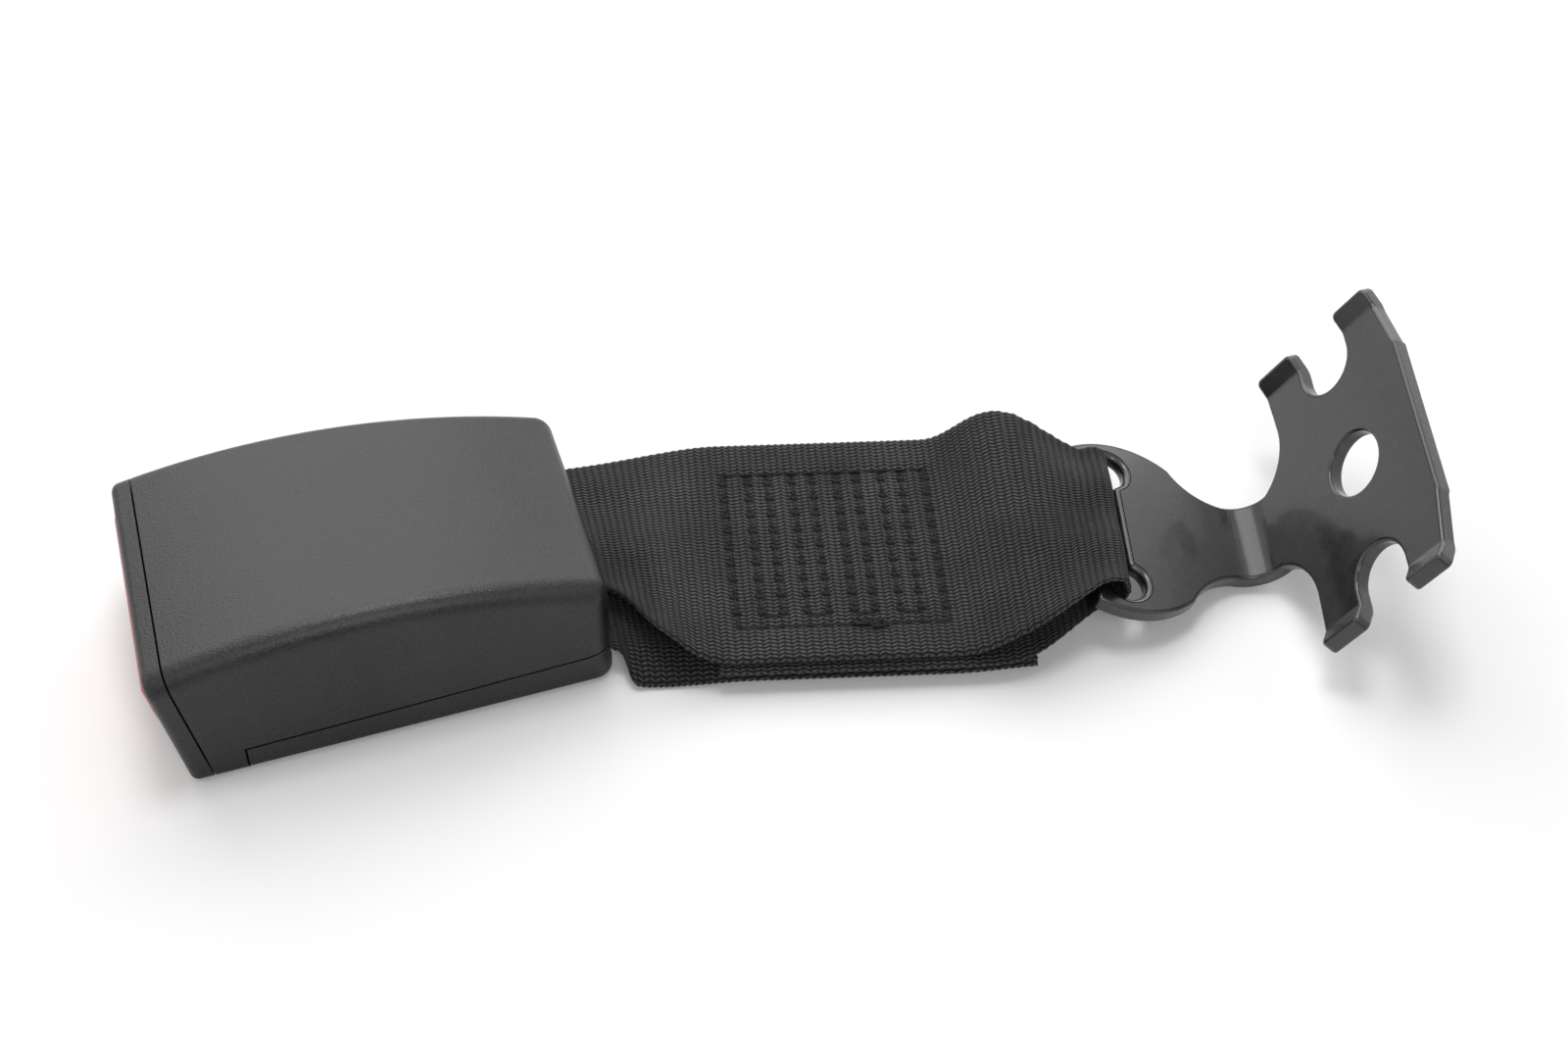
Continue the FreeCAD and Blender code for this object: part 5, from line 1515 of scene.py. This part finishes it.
@dataclass
class Bracket:
    """The floor bracket: one sheet of steel with a slotted eye, a bent neck and a pronged head.

    The sheet is drawn flat, from the eye's end to the head's top, and folded afterwards. Levels
    count up the head from the bend's corner, and places count from there towards the eye's end.

    Attributes:
        strap: The strap that it hangs in.
        finishes: The finishes to dress it in.
        thickness: The sheet's thickness.
        bend: The angle between the eye and the head.
        bend_radius: The radius of the bend, at the sheet's middle.
        bend_rows: The rows of faces round the bend.
        pitch: How far the eye climbs from level.
        neck_half: Half of the neck's width.
        neck_length: The place where the neck starts to widen.
        neck_blend: The radius of that widening.
        shoulder_half: Half of the head's width where the neck meets it.
        shoulder_blend: The radius from the neck to the head.
        eye_radius: The radius of the eye.
        eye_centre: The place of the eye's centre.
        eye_end: The place of the eye's flat end.
        eye_turn: Where the eye's round starts, as an angle at its centre.
        bar_width: The bar between the eye's end and its slot.
        slot_opening: The slot's width.
        lobe_radius: The radius of the slot's lobes.
        lobe_aside: How far from the middle a lobe is.
        lobe_centre: The place of the lobes' centre.
        lobe_ease: The radius where a lobe meets the slot's far side, as a share of its rim's rounding.
        slot_corner: The radius where a lobe meets the bar.
        hole: The bolt hole's level.
        hole_radius: The bolt hole's radius.
        head_top: The head's top, over the bolt hole.
        head_half: Half of the top's width.
        head_step: The small step at its ends.
        outer_prong: The lower and the upper side of the outer prongs, over the bolt hole.
        inner_prong: The same of the inner prongs.
        prong_line: How far from the middle the prongs turn up.
        prong_length: How far a prong reaches from there.
        prong_turn: How far the prongs turn.
        prong_radius: The radius of that turn.
        notch_radius: The radius of the notch between two prongs.
        notch_aside: How far from the middle its centre lies.
        notch_level: Its centre's level, over the bolt hole.
        edge_round: How far the sheet's outer edges are rounded.
        tip_round: The radius of a prong's corners.
        end_round: The radius of the corners at the eye's end.
        rim_round: How far the slot's rim is rounded.
        hole_round: How far the bolt hole's rim is rounded.
        round_rows: The rows of faces round each edge.
        cut_start: How far below the outer prongs' upper side the rough cut edge starts.
    """

    strap: Strap
    finishes: Finishes
    thickness: float = 3.0
    bend: float = 79.0
    bend_radius: float = 7.0
    bend_rows: int = 20
    pitch: float = 18.7
    neck_half: float = 7.8
    neck_length: float = 4.5
    neck_blend: float = 13.0
    shoulder_half: float = 17.8
    shoulder_blend: float = 10.4
    eye_radius: float = 18.2
    eye_centre: float = 27.0
    eye_end: float = 34.5
    eye_turn: float = 51.7
    bar_width: float = 3.5
    slot_opening: float = 3.4
    lobe_radius: float = 3.4
    lobe_aside: float = 11.9
    lobe_centre: float = 28.2
    lobe_ease: float = 1.4
    slot_corner: float = 1.5
    hole: float = 27.7
    hole_radius: float = 5.8
    head_top: float = 15.5
    head_half: float = 16.0
    head_step: float = 0.4
    outer_prong: tuple[float, float] = (5.0, 13.4)
    inner_prong: tuple[float, float] = (-15.4, -6.2)
    prong_line: float = 24.8
    prong_length: float = 4.97
    prong_turn: float = 30.0
    prong_radius: float = 3.0
    notch_radius: float = 5.6
    notch_aside: float = 22.6
    notch_level: float = -0.6
    edge_round: float = 0.6
    tip_round: float = 1.2
    end_round: float = 0.8
    rim_round: float = 1.2
    hole_round: float = 0.5
    round_rows: int = 6
    cut_start: float = 0.6

    @property
    def bend_run(self) -> float:
        """How far the bend reaches from its corner."""
        return self.bend_radius * math.tan(math.radians(self.bend) / 2)

    @property
    def bend_arc(self) -> float:
        """The length of the bend along the sheet."""
        return self.bend_radius * math.radians(self.bend)

    @property
    def prong_arc(self) -> float:
        """The length of a prong's turn along the sheet."""
        return self.prong_radius * math.radians(self.prong_turn)

    def on_head(self, level: float) -> float:
        """Give the place along the flat sheet of a level up the head."""
        return level - self.bend_run + self.bend_arc

    def on_eye(self, place: float) -> float:
        """Give the place along the flat sheet of a place before the bend."""
        return -place + self.bend_run

    def fold(self, along: float, aside: float, out: float) -> Vector:
        """Fold a point of the flat sheet into place.

        Args:
            along: Its place along the flat sheet.
            aside: Its place across it.
            out: Its place out of the sheet's middle, towards the front.

        Returns:
            The point in the part's frame.
        """
        past = abs(aside) - self.prong_line
        if past > 0:
            turn = min(past / self.prong_radius, math.radians(self.prong_turn))
            straight = past - turn * self.prong_radius
            side = math.copysign(1.0, aside)
            reach = (self.prong_radius - out) * math.sin(turn) + straight * math.cos(turn)
            out = self.prong_radius - (self.prong_radius - out) * math.cos(turn) + straight * math.sin(turn)
            aside = side * (self.prong_line + reach)
        turn = min(max(along / self.bend_radius, 0.0), math.radians(self.bend))
        straight = along - turn * self.bend_radius
        ahead = -self.bend_run + (self.bend_radius - out) * math.sin(turn) + straight * math.cos(turn)
        rise = self.bend_radius - (self.bend_radius - out) * math.cos(turn) + straight * math.sin(turn)
        return self.stand @ Vector((ahead, aside, rise))

    @property
    def stand(self) -> Matrix:
        """The place of the bracket in the strap's far loop.

        Returns:
            The matrix from the folded sheet to the part's frame.
        """
        across = self.strap.across(self.strap.reach)
        level = across.cross(Vector((0, 0, 1))).normalized()
        climb = across.cross(level).normalized()
        pitch = math.radians(self.pitch)
        along = (level * math.cos(pitch) + climb * math.sin(pitch)).normalized()
        turn = Matrix((along, across, along.cross(across))).transposed()
        bar = Vector((-self.eye_end + self.bar_width / 2, 0, 0))
        place = self.strap.middle(self.strap.reach) - turn @ bar
        return Matrix.Translation(place) @ turn.to_4x4()

    @staticmethod
    def corner(before: Vector, at: Vector, after: Vector, radius: float, count: int = 5) -> list[Vector]:
        """Round one corner of an outline.

        Args:
            before: A point on the side before the corner.
            at: The corner.
            after: A point on the side after it.
            radius: The radius of the rounding.
            count: The number of sides that it gets.

        Returns:
            The points of the rounding, in order.
        """
        back, ahead = (before - at).normalized(), (after - at).normalized()
        half = back.angle(ahead) / 2
        run = radius / math.tan(half)
        centre = at + (back + ahead).normalized() * (radius / math.sin(half))
        start, end = at + back * run - centre, at + ahead * run - centre
        turn = start.angle(end)
        found = []
        for index in range(count + 1):
            share = index / count
            low = math.sin((1 - share) * turn) / math.sin(turn)
            high = math.sin(share * turn) / math.sin(turn)
            found.append(centre + start * low + end * high)
        return found

    @staticmethod
    def arc(first: Vector, last: Vector, radius: float, side: int, count: int) -> list[Vector]:
        """Give the points of an arc between two points, without the two.

        Args:
            first: The point before the arc.
            last: The point after it.
            radius: The arc's radius.
            side: 1 for a centre to the left of the way from first to last, -1 to the right.
            count: The number of sides between the two points.

        Returns:
            The points, in order.
        """
        chord = last - first
        depth = math.sqrt(max(radius**2 - chord.length_squared / 4, 0.0))
        away = Vector((-chord.y, chord.x, 0)).normalized()
        centre = (first + last) / 2 + away * (depth * side)
        start = math.atan2(first.y - centre.y, first.x - centre.x)
        turn = math.atan2(last.y - centre.y, last.x - centre.x) - start
        turn = (turn + math.pi) % (2 * math.pi) - math.pi
        angles = [start + turn * index / count for index in range(1, count)]
        return [centre + Vector((math.cos(angle), math.sin(angle), 0)) * radius for angle in angles]

    def at(self, level: float, aside: float) -> Vector:
        """Give a point of the flat head."""
        return Vector((self.on_head(level), aside, 0))

    def prong(self, low: float, high: float) -> list[Vector]:
        """Give the outline of one prong, from its upper to its lower side.

        Args:
            low: The level of its lower side.
            high: The level of its upper side.

        Returns:
            The points, in order.
        """
        tip = self.prong_line + self.prong_length
        rows = [self.prong_line + self.prong_arc * index / 4 for index in range(5)]
        return [
            *(self.at(high, row) for row in rows),
            *self.corner(self.at(high, 0), self.at(high, tip), self.at(low, tip), self.tip_round),
            *self.corner(self.at(high, tip), self.at(low, tip), self.at(low, 0), self.tip_round),
            *(self.at(low, row) for row in reversed(rows)),
        ]

    def notch(self) -> list[Vector]:
        """Give the outline of the notch between the outer and the inner prong.

        Returns:
            The points, in order.
        """
        found = []
        for index in range(25):
            turn = math.pi * index / 24
            level = self.hole + self.notch_level + self.notch_radius * math.cos(turn)
            found.append(self.at(level, self.notch_aside - self.notch_radius * math.sin(turn)))
        return found

    def eye_round(self) -> list[Vector]:
        """Give the outline from the neck round the eye to its flat end.

        Returns:
            The points, in order.
        """
        neck = Vector((min(self.on_eye(self.neck_length), -0.5), self.neck_half, 0))
        centre = Vector((self.on_eye(self.eye_centre), 0, 0))
        first = math.radians(self.eye_turn)
        last = math.acos((self.eye_centre - self.eye_end) / self.eye_radius)
        turns = [first + (last - first) * index / 26 for index in range(27)]
        rim = [centre + Vector((math.cos(turn), math.sin(turn), 0)) * self.eye_radius for turn in turns]
        end = rim.pop()
        return [
            neck,
            *self.arc(neck, rim[0], self.neck_blend, -1, 12),
            *rim,
            *self.corner(rim[-1], end, Vector((end.x, 0, 0)), self.end_round),
        ]

    def far_half(self) -> list[Vector]:
        """Give the sheet's outline on the far side, from the head's top to the eye's end.

        Returns:
            The points, in order.
        """
        top = self.hole + self.head_top
        step = self.head_step
        shoulder = self.at(self.hole + self.inner_prong[0] + step, self.shoulder_half)
        neck = self.at(self.bend_run + 0.5, self.neck_half)
        bend = [self.bend_arc * (1 - index / self.bend_rows) for index in range(self.bend_rows + 1)]
        return [
            self.at(top, self.head_half - step),
            self.at(top - step, self.head_half + step),
            *self.prong(self.hole + self.outer_prong[0], self.hole + self.outer_prong[1]),
            *self.notch(),
            *self.prong(self.hole + self.inner_prong[0], self.hole + self.inner_prong[1]),
            shoulder,
            *self.arc(shoulder, neck, self.shoulder_blend, -1, 14),
            neck,
            *(Vector((place, self.neck_half, 0)) for place in bend),
            *self.eye_round(),
        ]

    def outline(self) -> list[Vector]:
        """Give the whole outline of the flat sheet."""
        far = self.far_half()
        return far + [Vector((point.x, -point.y, 0)) for point in reversed(far)]

    def slot_outline(self) -> list[Vector]:
        """Give the outline of the strap's slot, with a round lobe at each end.

        Returns:
            The points, in order.
        """
        low = self.on_eye(self.eye_end - self.bar_width)
        high = low + self.slot_opening
        centre = self.on_eye(self.lobe_centre)
        start = math.acos((low - centre) / self.lobe_radius)
        stop = -math.acos((high - centre) / self.lobe_radius)
        middle = Vector((centre, self.lobe_aside, 0))
        turns = [start + (stop - start) * index / 30 for index in range(31)]
        lobe = [middle + Vector((math.cos(turn), math.sin(turn), 0)) * self.lobe_radius for turn in turns]
        ease = self.corner(lobe[-5], lobe[-1], Vector((high, 0, 0)), self.rim_round * self.lobe_ease, 6)
        foot_corner = self.corner(Vector((low, 0, 0)), lobe[0], lobe[3], self.slot_corner, 3)
        half = foot_corner + lobe[3:-5] + ease
        foot = [Vector((low, self.lobe_aside - gap, 0)) for gap in (8, 4, 0)]
        waist = [Vector((high, self.lobe_aside - gap, 0)) for gap in (6, 9)]
        upper = foot + half + waist
        return upper + [Vector((point.x, -point.y, 0)) for point in reversed(upper)]

    def hole_outline(self) -> list[Vector]:
        """Give the outline of the bolt hole.

        Returns:
            The points, in order.
        """
        centre = Vector((self.on_head(self.hole), 0, 0))
        turns = [2 * math.pi * index / 64 for index in range(64)]
        return [centre + Vector((math.cos(turn), math.sin(turn), 0)) * self.hole_radius for turn in turns]

    @staticmethod
    def inward(loop: list[Vector], into: float) -> list[Vector]:
        """Give the direction into the steel at each point of a loop.

        Args:
            loop: The points, in order.
            into: 1 for the sheet's outline and -1 for a hole in it.

        Returns:
            A direction for each point, longer at a corner.
        """
        area = sum(a.x * b.y - b.x * a.y for a, b in zip(loop, loop[1:] + loop[:1]))
        turn = into * math.copysign(1.0, area)
        found = []
        for index, point in enumerate(loop):
            back = (point - loop[index - 1]).normalized()
            ahead = (loop[(index + 1) % len(loop)] - point).normalized()
            normals = [Vector((-step.y, step.x, 0)) * turn for step in (back, ahead)]
            whole = (normals[0] + normals[1]).normalized()
            found.append(whole / max(whole.dot(normals[0]), 0.5))
        return found

    @staticmethod
    def inside(point: Vector, loop: list[Vector]) -> bool:
        """Tell whether a point of the flat sheet lies inside a loop.

        Args:
            point: The point.
            loop: The loop's points, in order.

        Returns:
            Whether it does.
        """
        held = False
        for a, b in zip(loop, loop[1:] + loop[:1]):
            if (a.y > point.y) != (b.y > point.y):
                held ^= point.x < (b.x - a.x) * (point.y - a.y) / (b.y - a.y) + a.x
        return held

    def wall(
        self, loop: list[Vector], into: float, round_off: float, points: list[Vector], faces: list[Face]
    ) -> Rim:
        """Build the wall that follows a loop, with its two rounded edges.

        Args:
            loop: The loop's points, in order.
            into: 1 for the sheet's outline and -1 for a hole in it.
            round_off: How far its edges are rounded.
            points: The bracket's corners, which grow by the wall's.
            faces: The bracket's faces, which grow by the wall's.

        Returns:
            The rim that the flat faces join.
        """
        half = self.thickness / 2
        inwards = self.inward(loop, into)
        turns = [math.pi / 2 * index / self.round_rows for index in range(self.round_rows + 1)]
        profile = [
            (round_off * (1 - math.sin(turn)), half - round_off * (1 - math.cos(turn))) for turn in turns]
        profile += [(offset, -out) for offset, out in reversed(profile)]
        rows = []
        for offset, out in profile:
            rows.append(list(range(len(points), len(points) + len(loop))))
            points += [self.fold(p.x + n.x * offset, p.y + n.y * offset, out) for p, n in zip(loop, inwards)]
        brink = self.on_head(self.hole + self.outer_prong[1]) - self.cut_start
        cut = []
        for number, (row, following) in enumerate(zip(rows, rows[1:])):
            for index, place in enumerate(loop):
                beside = (index + 1) % len(loop)
                if number == self.round_rows and place.x > brink:
                    cut.append(len(faces))
                faces.append((row[index], row[beside], following[beside], following[index]))
        ring = [Vector((p.x + n.x * round_off, p.y + n.y * round_off, 0)) for p, n in zip(loop, inwards)]
        return Rim(ring, rows[0], rows[-1], cut)

    def folds(self, ring: list[Vector]) -> list[tuple[int, int]]:
        """Give the lines across the sheet that its flat faces need in order to bend.

        Args:
            ring: The loop where the flat faces start.

        Returns:
            Pairs of the loop's points, each the two ends of a line.
        """
        near = 0.01
        ends: dict[tuple[float, ...], list[int]] = {}
        for index, place in enumerate(ring):
            aside = abs(place.y)
            if aside < self.neck_half and -near < place.x < self.bend_arc + near:
                ends.setdefault((round(place.x, 3),), []).append(index)
        for index, place in enumerate(ring):
            if self.prong_line - near < abs(place.y) < self.prong_line + self.prong_arc + near:
                ends.setdefault((round(place.y, 3), place.x > self.on_head(self.hole)), []).append(index)
        return [(pair[0], pair[1]) for pair in ends.values() if len(pair) == 2]

    def plates(self, rims: list[Rim]) -> list[Face]:
        """Fill the front and the back face between the rims.

        Args:
            rims: The rim of the sheet's outline, and those of its holes.

        Returns:
            The faces.
        """
        outer, *holes = rims
        flat_points: list[Vector] = []
        edges: list[tuple[int, int]] = []
        for rim in rims:
            first, count = len(flat_points), len(rim.ring)
            flat_points += rim.ring
            edges += [(first + index, first + (index + 1) % count) for index in range(count)]
        edges += self.folds(outer.ring)
        front = [corner for rim in rims for corner in rim.front]
        back = [corner for rim in rims for corner in rim.back]
        filled = delaunay_2d_cdt([point.to_2d() for point in flat_points], edges, [], 0, 1e-6)
        sources = [origin[0] for origin in filled[3]]
        faces: list[Face] = []
        for triangle in filled[2]:
            corners = [sources[index] for index in triangle]
            middle = sum((flat_points[corner] for corner in corners), Vector()) / 3
            if self.inside(middle, outer.ring) and not any(self.inside(middle, hole.ring) for hole in holes):
                faces.append(tuple(front[corner] for corner in corners))
                faces.append(tuple(back[corner] for corner in reversed(corners)))
        return faces

    def build(self) -> bpy.types.Object:
        """Build the bracket: its flat faces, its rounded edges and its rough cut side.

        Returns:
            The bracket.
        """
        points: list[Vector] = []
        faces: list[Face] = []
        rims = [
            self.wall(self.outline(), 1.0, self.edge_round, points, faces),
            self.wall(self.slot_outline(), -1.0, self.rim_round, points, faces),
            self.wall(self.hole_outline(), -1.0, self.hole_round, points, faces),
        ]
        faces += self.plates(rims)
        piece = make_piece("floor_bracket", points, faces, [self.finishes.coat, self.finishes.cut_edge],
                           Body.BRACKET)
        for index in rims[0].cut:
            piece.data.polygons[index].material_index = 1
        weigh = piece.modifiers.new("even_faces", "WEIGHTED_NORMAL")
        weigh.mode = "FACE_AREA"
        weigh.weight = 90
        weigh.keep_sharp = True
        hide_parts("anchor_bracket")
        return piece


@dataclass(frozen=True)
class Lamp:
    """A square soft lamp.

    Attributes:
        name: Its name.
        place: Where it hangs.
        target: The point that it shines on.
        width: Its width.
        watts: Its power.
    """

    name: str
    place: Place
    target: Place
    width: float
    watts: float

    def hang(self) -> None:
        """Hang the lamp in the scene."""
        light = bpy.data.lights.new(self.name, "AREA")
        light.size = self.width * MM
        light.energy = self.watts
        lamp = bpy.data.objects.new(self.name, light)
        place = Vector(self.place)
        lamp.location = place * MM
        lamp.rotation_euler = (Vector(self.target) - place).to_track_quat("-Z", "Y").to_euler()
        bpy.context.scene.collection.objects.link(lamp)


@dataclass
class Studio:
    """A white sweep, soft lamps and the camera at the photograph's angle.

    Attributes:
        eye: The camera's place, in millimetres.
        look: The direction that it looks in.
        side: The direction to its right.
        lens: Its focal length on a full frame.
        floor_size: The floor's width, in metres.
        floor_glow: The floor's own glow near the object, which lights nothing.
        backdrop_glow: The same far away.
        glow_run: Where the one ends and the other starts, in metres from the middle.
        front_level: The brightness of the room's dim front in mirrored light.
        front_edges: The direction towards the front where the room is dim and where it is white.
        fill_level: The brightness of the light that fills the room.
        lamps: The lamps.
    """

    eye: Place = (-13.5, -285.0, 302.6)
    look: Place = (0.2097, 0.6753, -0.7071)
    side: Place = (0.9550, -0.2965, 0.0)
    lens: float = 54.0
    floor_size: float = 6.0
    floor_glow: float = 0.12
    backdrop_glow: float = 0.85
    glow_run: tuple[float, float] = (0.45, 2.2)
    front_level: float = 0.12
    front_edges: tuple[float, float] = (-1.0, -0.8)
    fill_level: float = 0.24
    lamps: tuple[Lamp, ...] = (
        Lamp("rear_softbox", (30, 620, 700), (30, 0, 0), 860, 4.75),
        Lamp("overhead_lamp", (90, 60, 760), (60, 0, 0), 240, 1.7),
        Lamp("left_softbox", (-620, 120, 420), (40, 0, 20), 460, 0.7),
        Lamp("front_softbox", (60, -600, 580), (30, 0, 20), 220, 0.9),
        Lamp("right_softbox", (690, 495, 485), (140, -30, 10), 420, 1.35),
    )

    def build(self) -> None:
        """Build the floor, the lamps, the world and the camera."""
        self.floor()
        for lamp in self.lamps:
            lamp.hang()
        self.world()
        self.camera()
        bpy.context.scene.view_settings.view_transform = "Standard"

    def floor(self) -> None:
        """Lay the pale floor."""
        recipe = Recipe("pale_floor")
        speck = recipe.noise(recipe.place(), 6.0, detail=2.0)
        recipe.colour(recipe.blend(recipe.ramp(speck, 0.3, 0.7), (0.90, 0.895, 0.895), (0.92, 0.915, 0.915)))
        recipe.set(Roughness=0.7, Specular_IOR_Level=0.2, Emission_Color=(1.0, 0.97, 0.955, 1.0))
        path = recipe.tree.nodes.new("ShaderNodeLightPath").outputs
        seen = recipe.math("MAXIMUM", path["Is Camera Ray"], path["Is Glossy Ray"])
        seen = recipe.math("MAXIMUM", seen, path["Is Transmission Ray"])
        away = recipe.tree.nodes.new("ShaderNodeVectorMath")
        away.operation = "LENGTH"
        recipe.tree.links.new(recipe.place(), away.inputs[0])
        glow = recipe.ramp(away.outputs["Value"], *self.glow_run, self.floor_glow, self.backdrop_glow)
        recipe.feed(recipe.shader, "Emission Strength", recipe.math("MULTIPLY", seen, glow))
        half = self.floor_size / 2
        mesh = bpy.data.meshes.new("floor")
        corners = [(-half, -half, 0), (half, -half, 0), (half, half, 0), (-half, half, 0)]
        mesh.from_pydata(corners, [], [(0, 1, 2, 3)])
        mesh.materials.append(recipe.material)
        floor = bpy.data.objects.new("floor", mesh)
        bpy.context.scene.collection.objects.link(floor)

    def world(self) -> None:
        """Fill the world with a plain light, seen and mirrored as white but for a dim front."""
        world = bpy.data.worlds.new("studio")
        world.use_nodes = True
        tree = world.node_tree
        path = tree.nodes.new("ShaderNodeLightPath")
        way = tree.nodes.new("ShaderNodeSeparateXYZ")
        tree.links.new(tree.nodes.new("ShaderNodeTexCoord").outputs["Generated"], way.inputs["Vector"])
        room = self.joined(tree, "ShaderNodeMapRange", way.outputs["Y"])
        room.inputs["From Min"].default_value, room.inputs["From Max"].default_value = self.front_edges
        room.inputs["To Min"].default_value = self.front_level
        rays = path.outputs
        mirrored = self.joined(tree, "ShaderNodeMath", rays["Is Glossy Ray"], room.outputs["Result"])
        mirrored.operation = "MULTIPLY"
        through = self.joined(tree, "ShaderNodeMath", rays["Is Transmission Ray"], mirrored.outputs[0])
        through.operation = "MAXIMUM"
        seen = self.joined(tree, "ShaderNodeMath", rays["Is Camera Ray"], through.outputs[0])
        seen.operation = "MAXIMUM"
        level = self.joined(tree, "ShaderNodeMapRange", seen.outputs[0])
        level.inputs["To Min"].default_value = self.fill_level
        background = tree.nodes["Background"]
        background.inputs["Color"].default_value = (1.0, 1.0, 1.0, 1.0)
        tree.links.new(level.outputs["Result"], background.inputs["Strength"])
        bpy.context.scene.world = world

    @staticmethod
    def joined(tree: bpy.types.NodeTree, kind: str, *sources: bpy.types.NodeSocket) -> bpy.types.Node:
        """Add a node whose first inputs are fed from sockets.

        Args:
            tree: The tree to add it to.
            kind: The node's kind.
            sources: The sockets, in the order of its inputs.

        Returns:
            The node.
        """
        node = tree.nodes.new(kind)
        for index, source in enumerate(sources):
            tree.links.new(source, node.inputs[index])
        return node

    def camera(self) -> None:
        """Set up the camera."""
        data = bpy.data.cameras.new("camera")
        data.lens = self.lens
        data.clip_start = 0.01
        data.clip_end = 20.0
        camera = bpy.data.objects.new("camera", data)
        look, side = Vector(self.look), Vector(self.side)
        turn = Matrix((side, side.cross(look), -look)).transposed()
        camera.matrix_world = Matrix.Translation(Vector(self.eye) * MM) @ turn.to_4x4()
        bpy.context.scene.collection.objects.link(camera)
        bpy.context.scene.camera = camera


def main() -> None:
    """Build every piece in order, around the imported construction."""
    logging.basicConfig(level=logging.INFO, format="%(name)s: %(message)s")
    Studio().build()
    finishes = Finishes()
    housing = Housing(finishes)
    housing.dress()
    housing.compress()
    housing.close_seam()
    strap = Strap(finishes)
    strap.build()
    strap.fray()
    Sewing(strap, finishes).build()
    Bracket(strap, finishes).build()


if __name__ == "__main__":
    main()
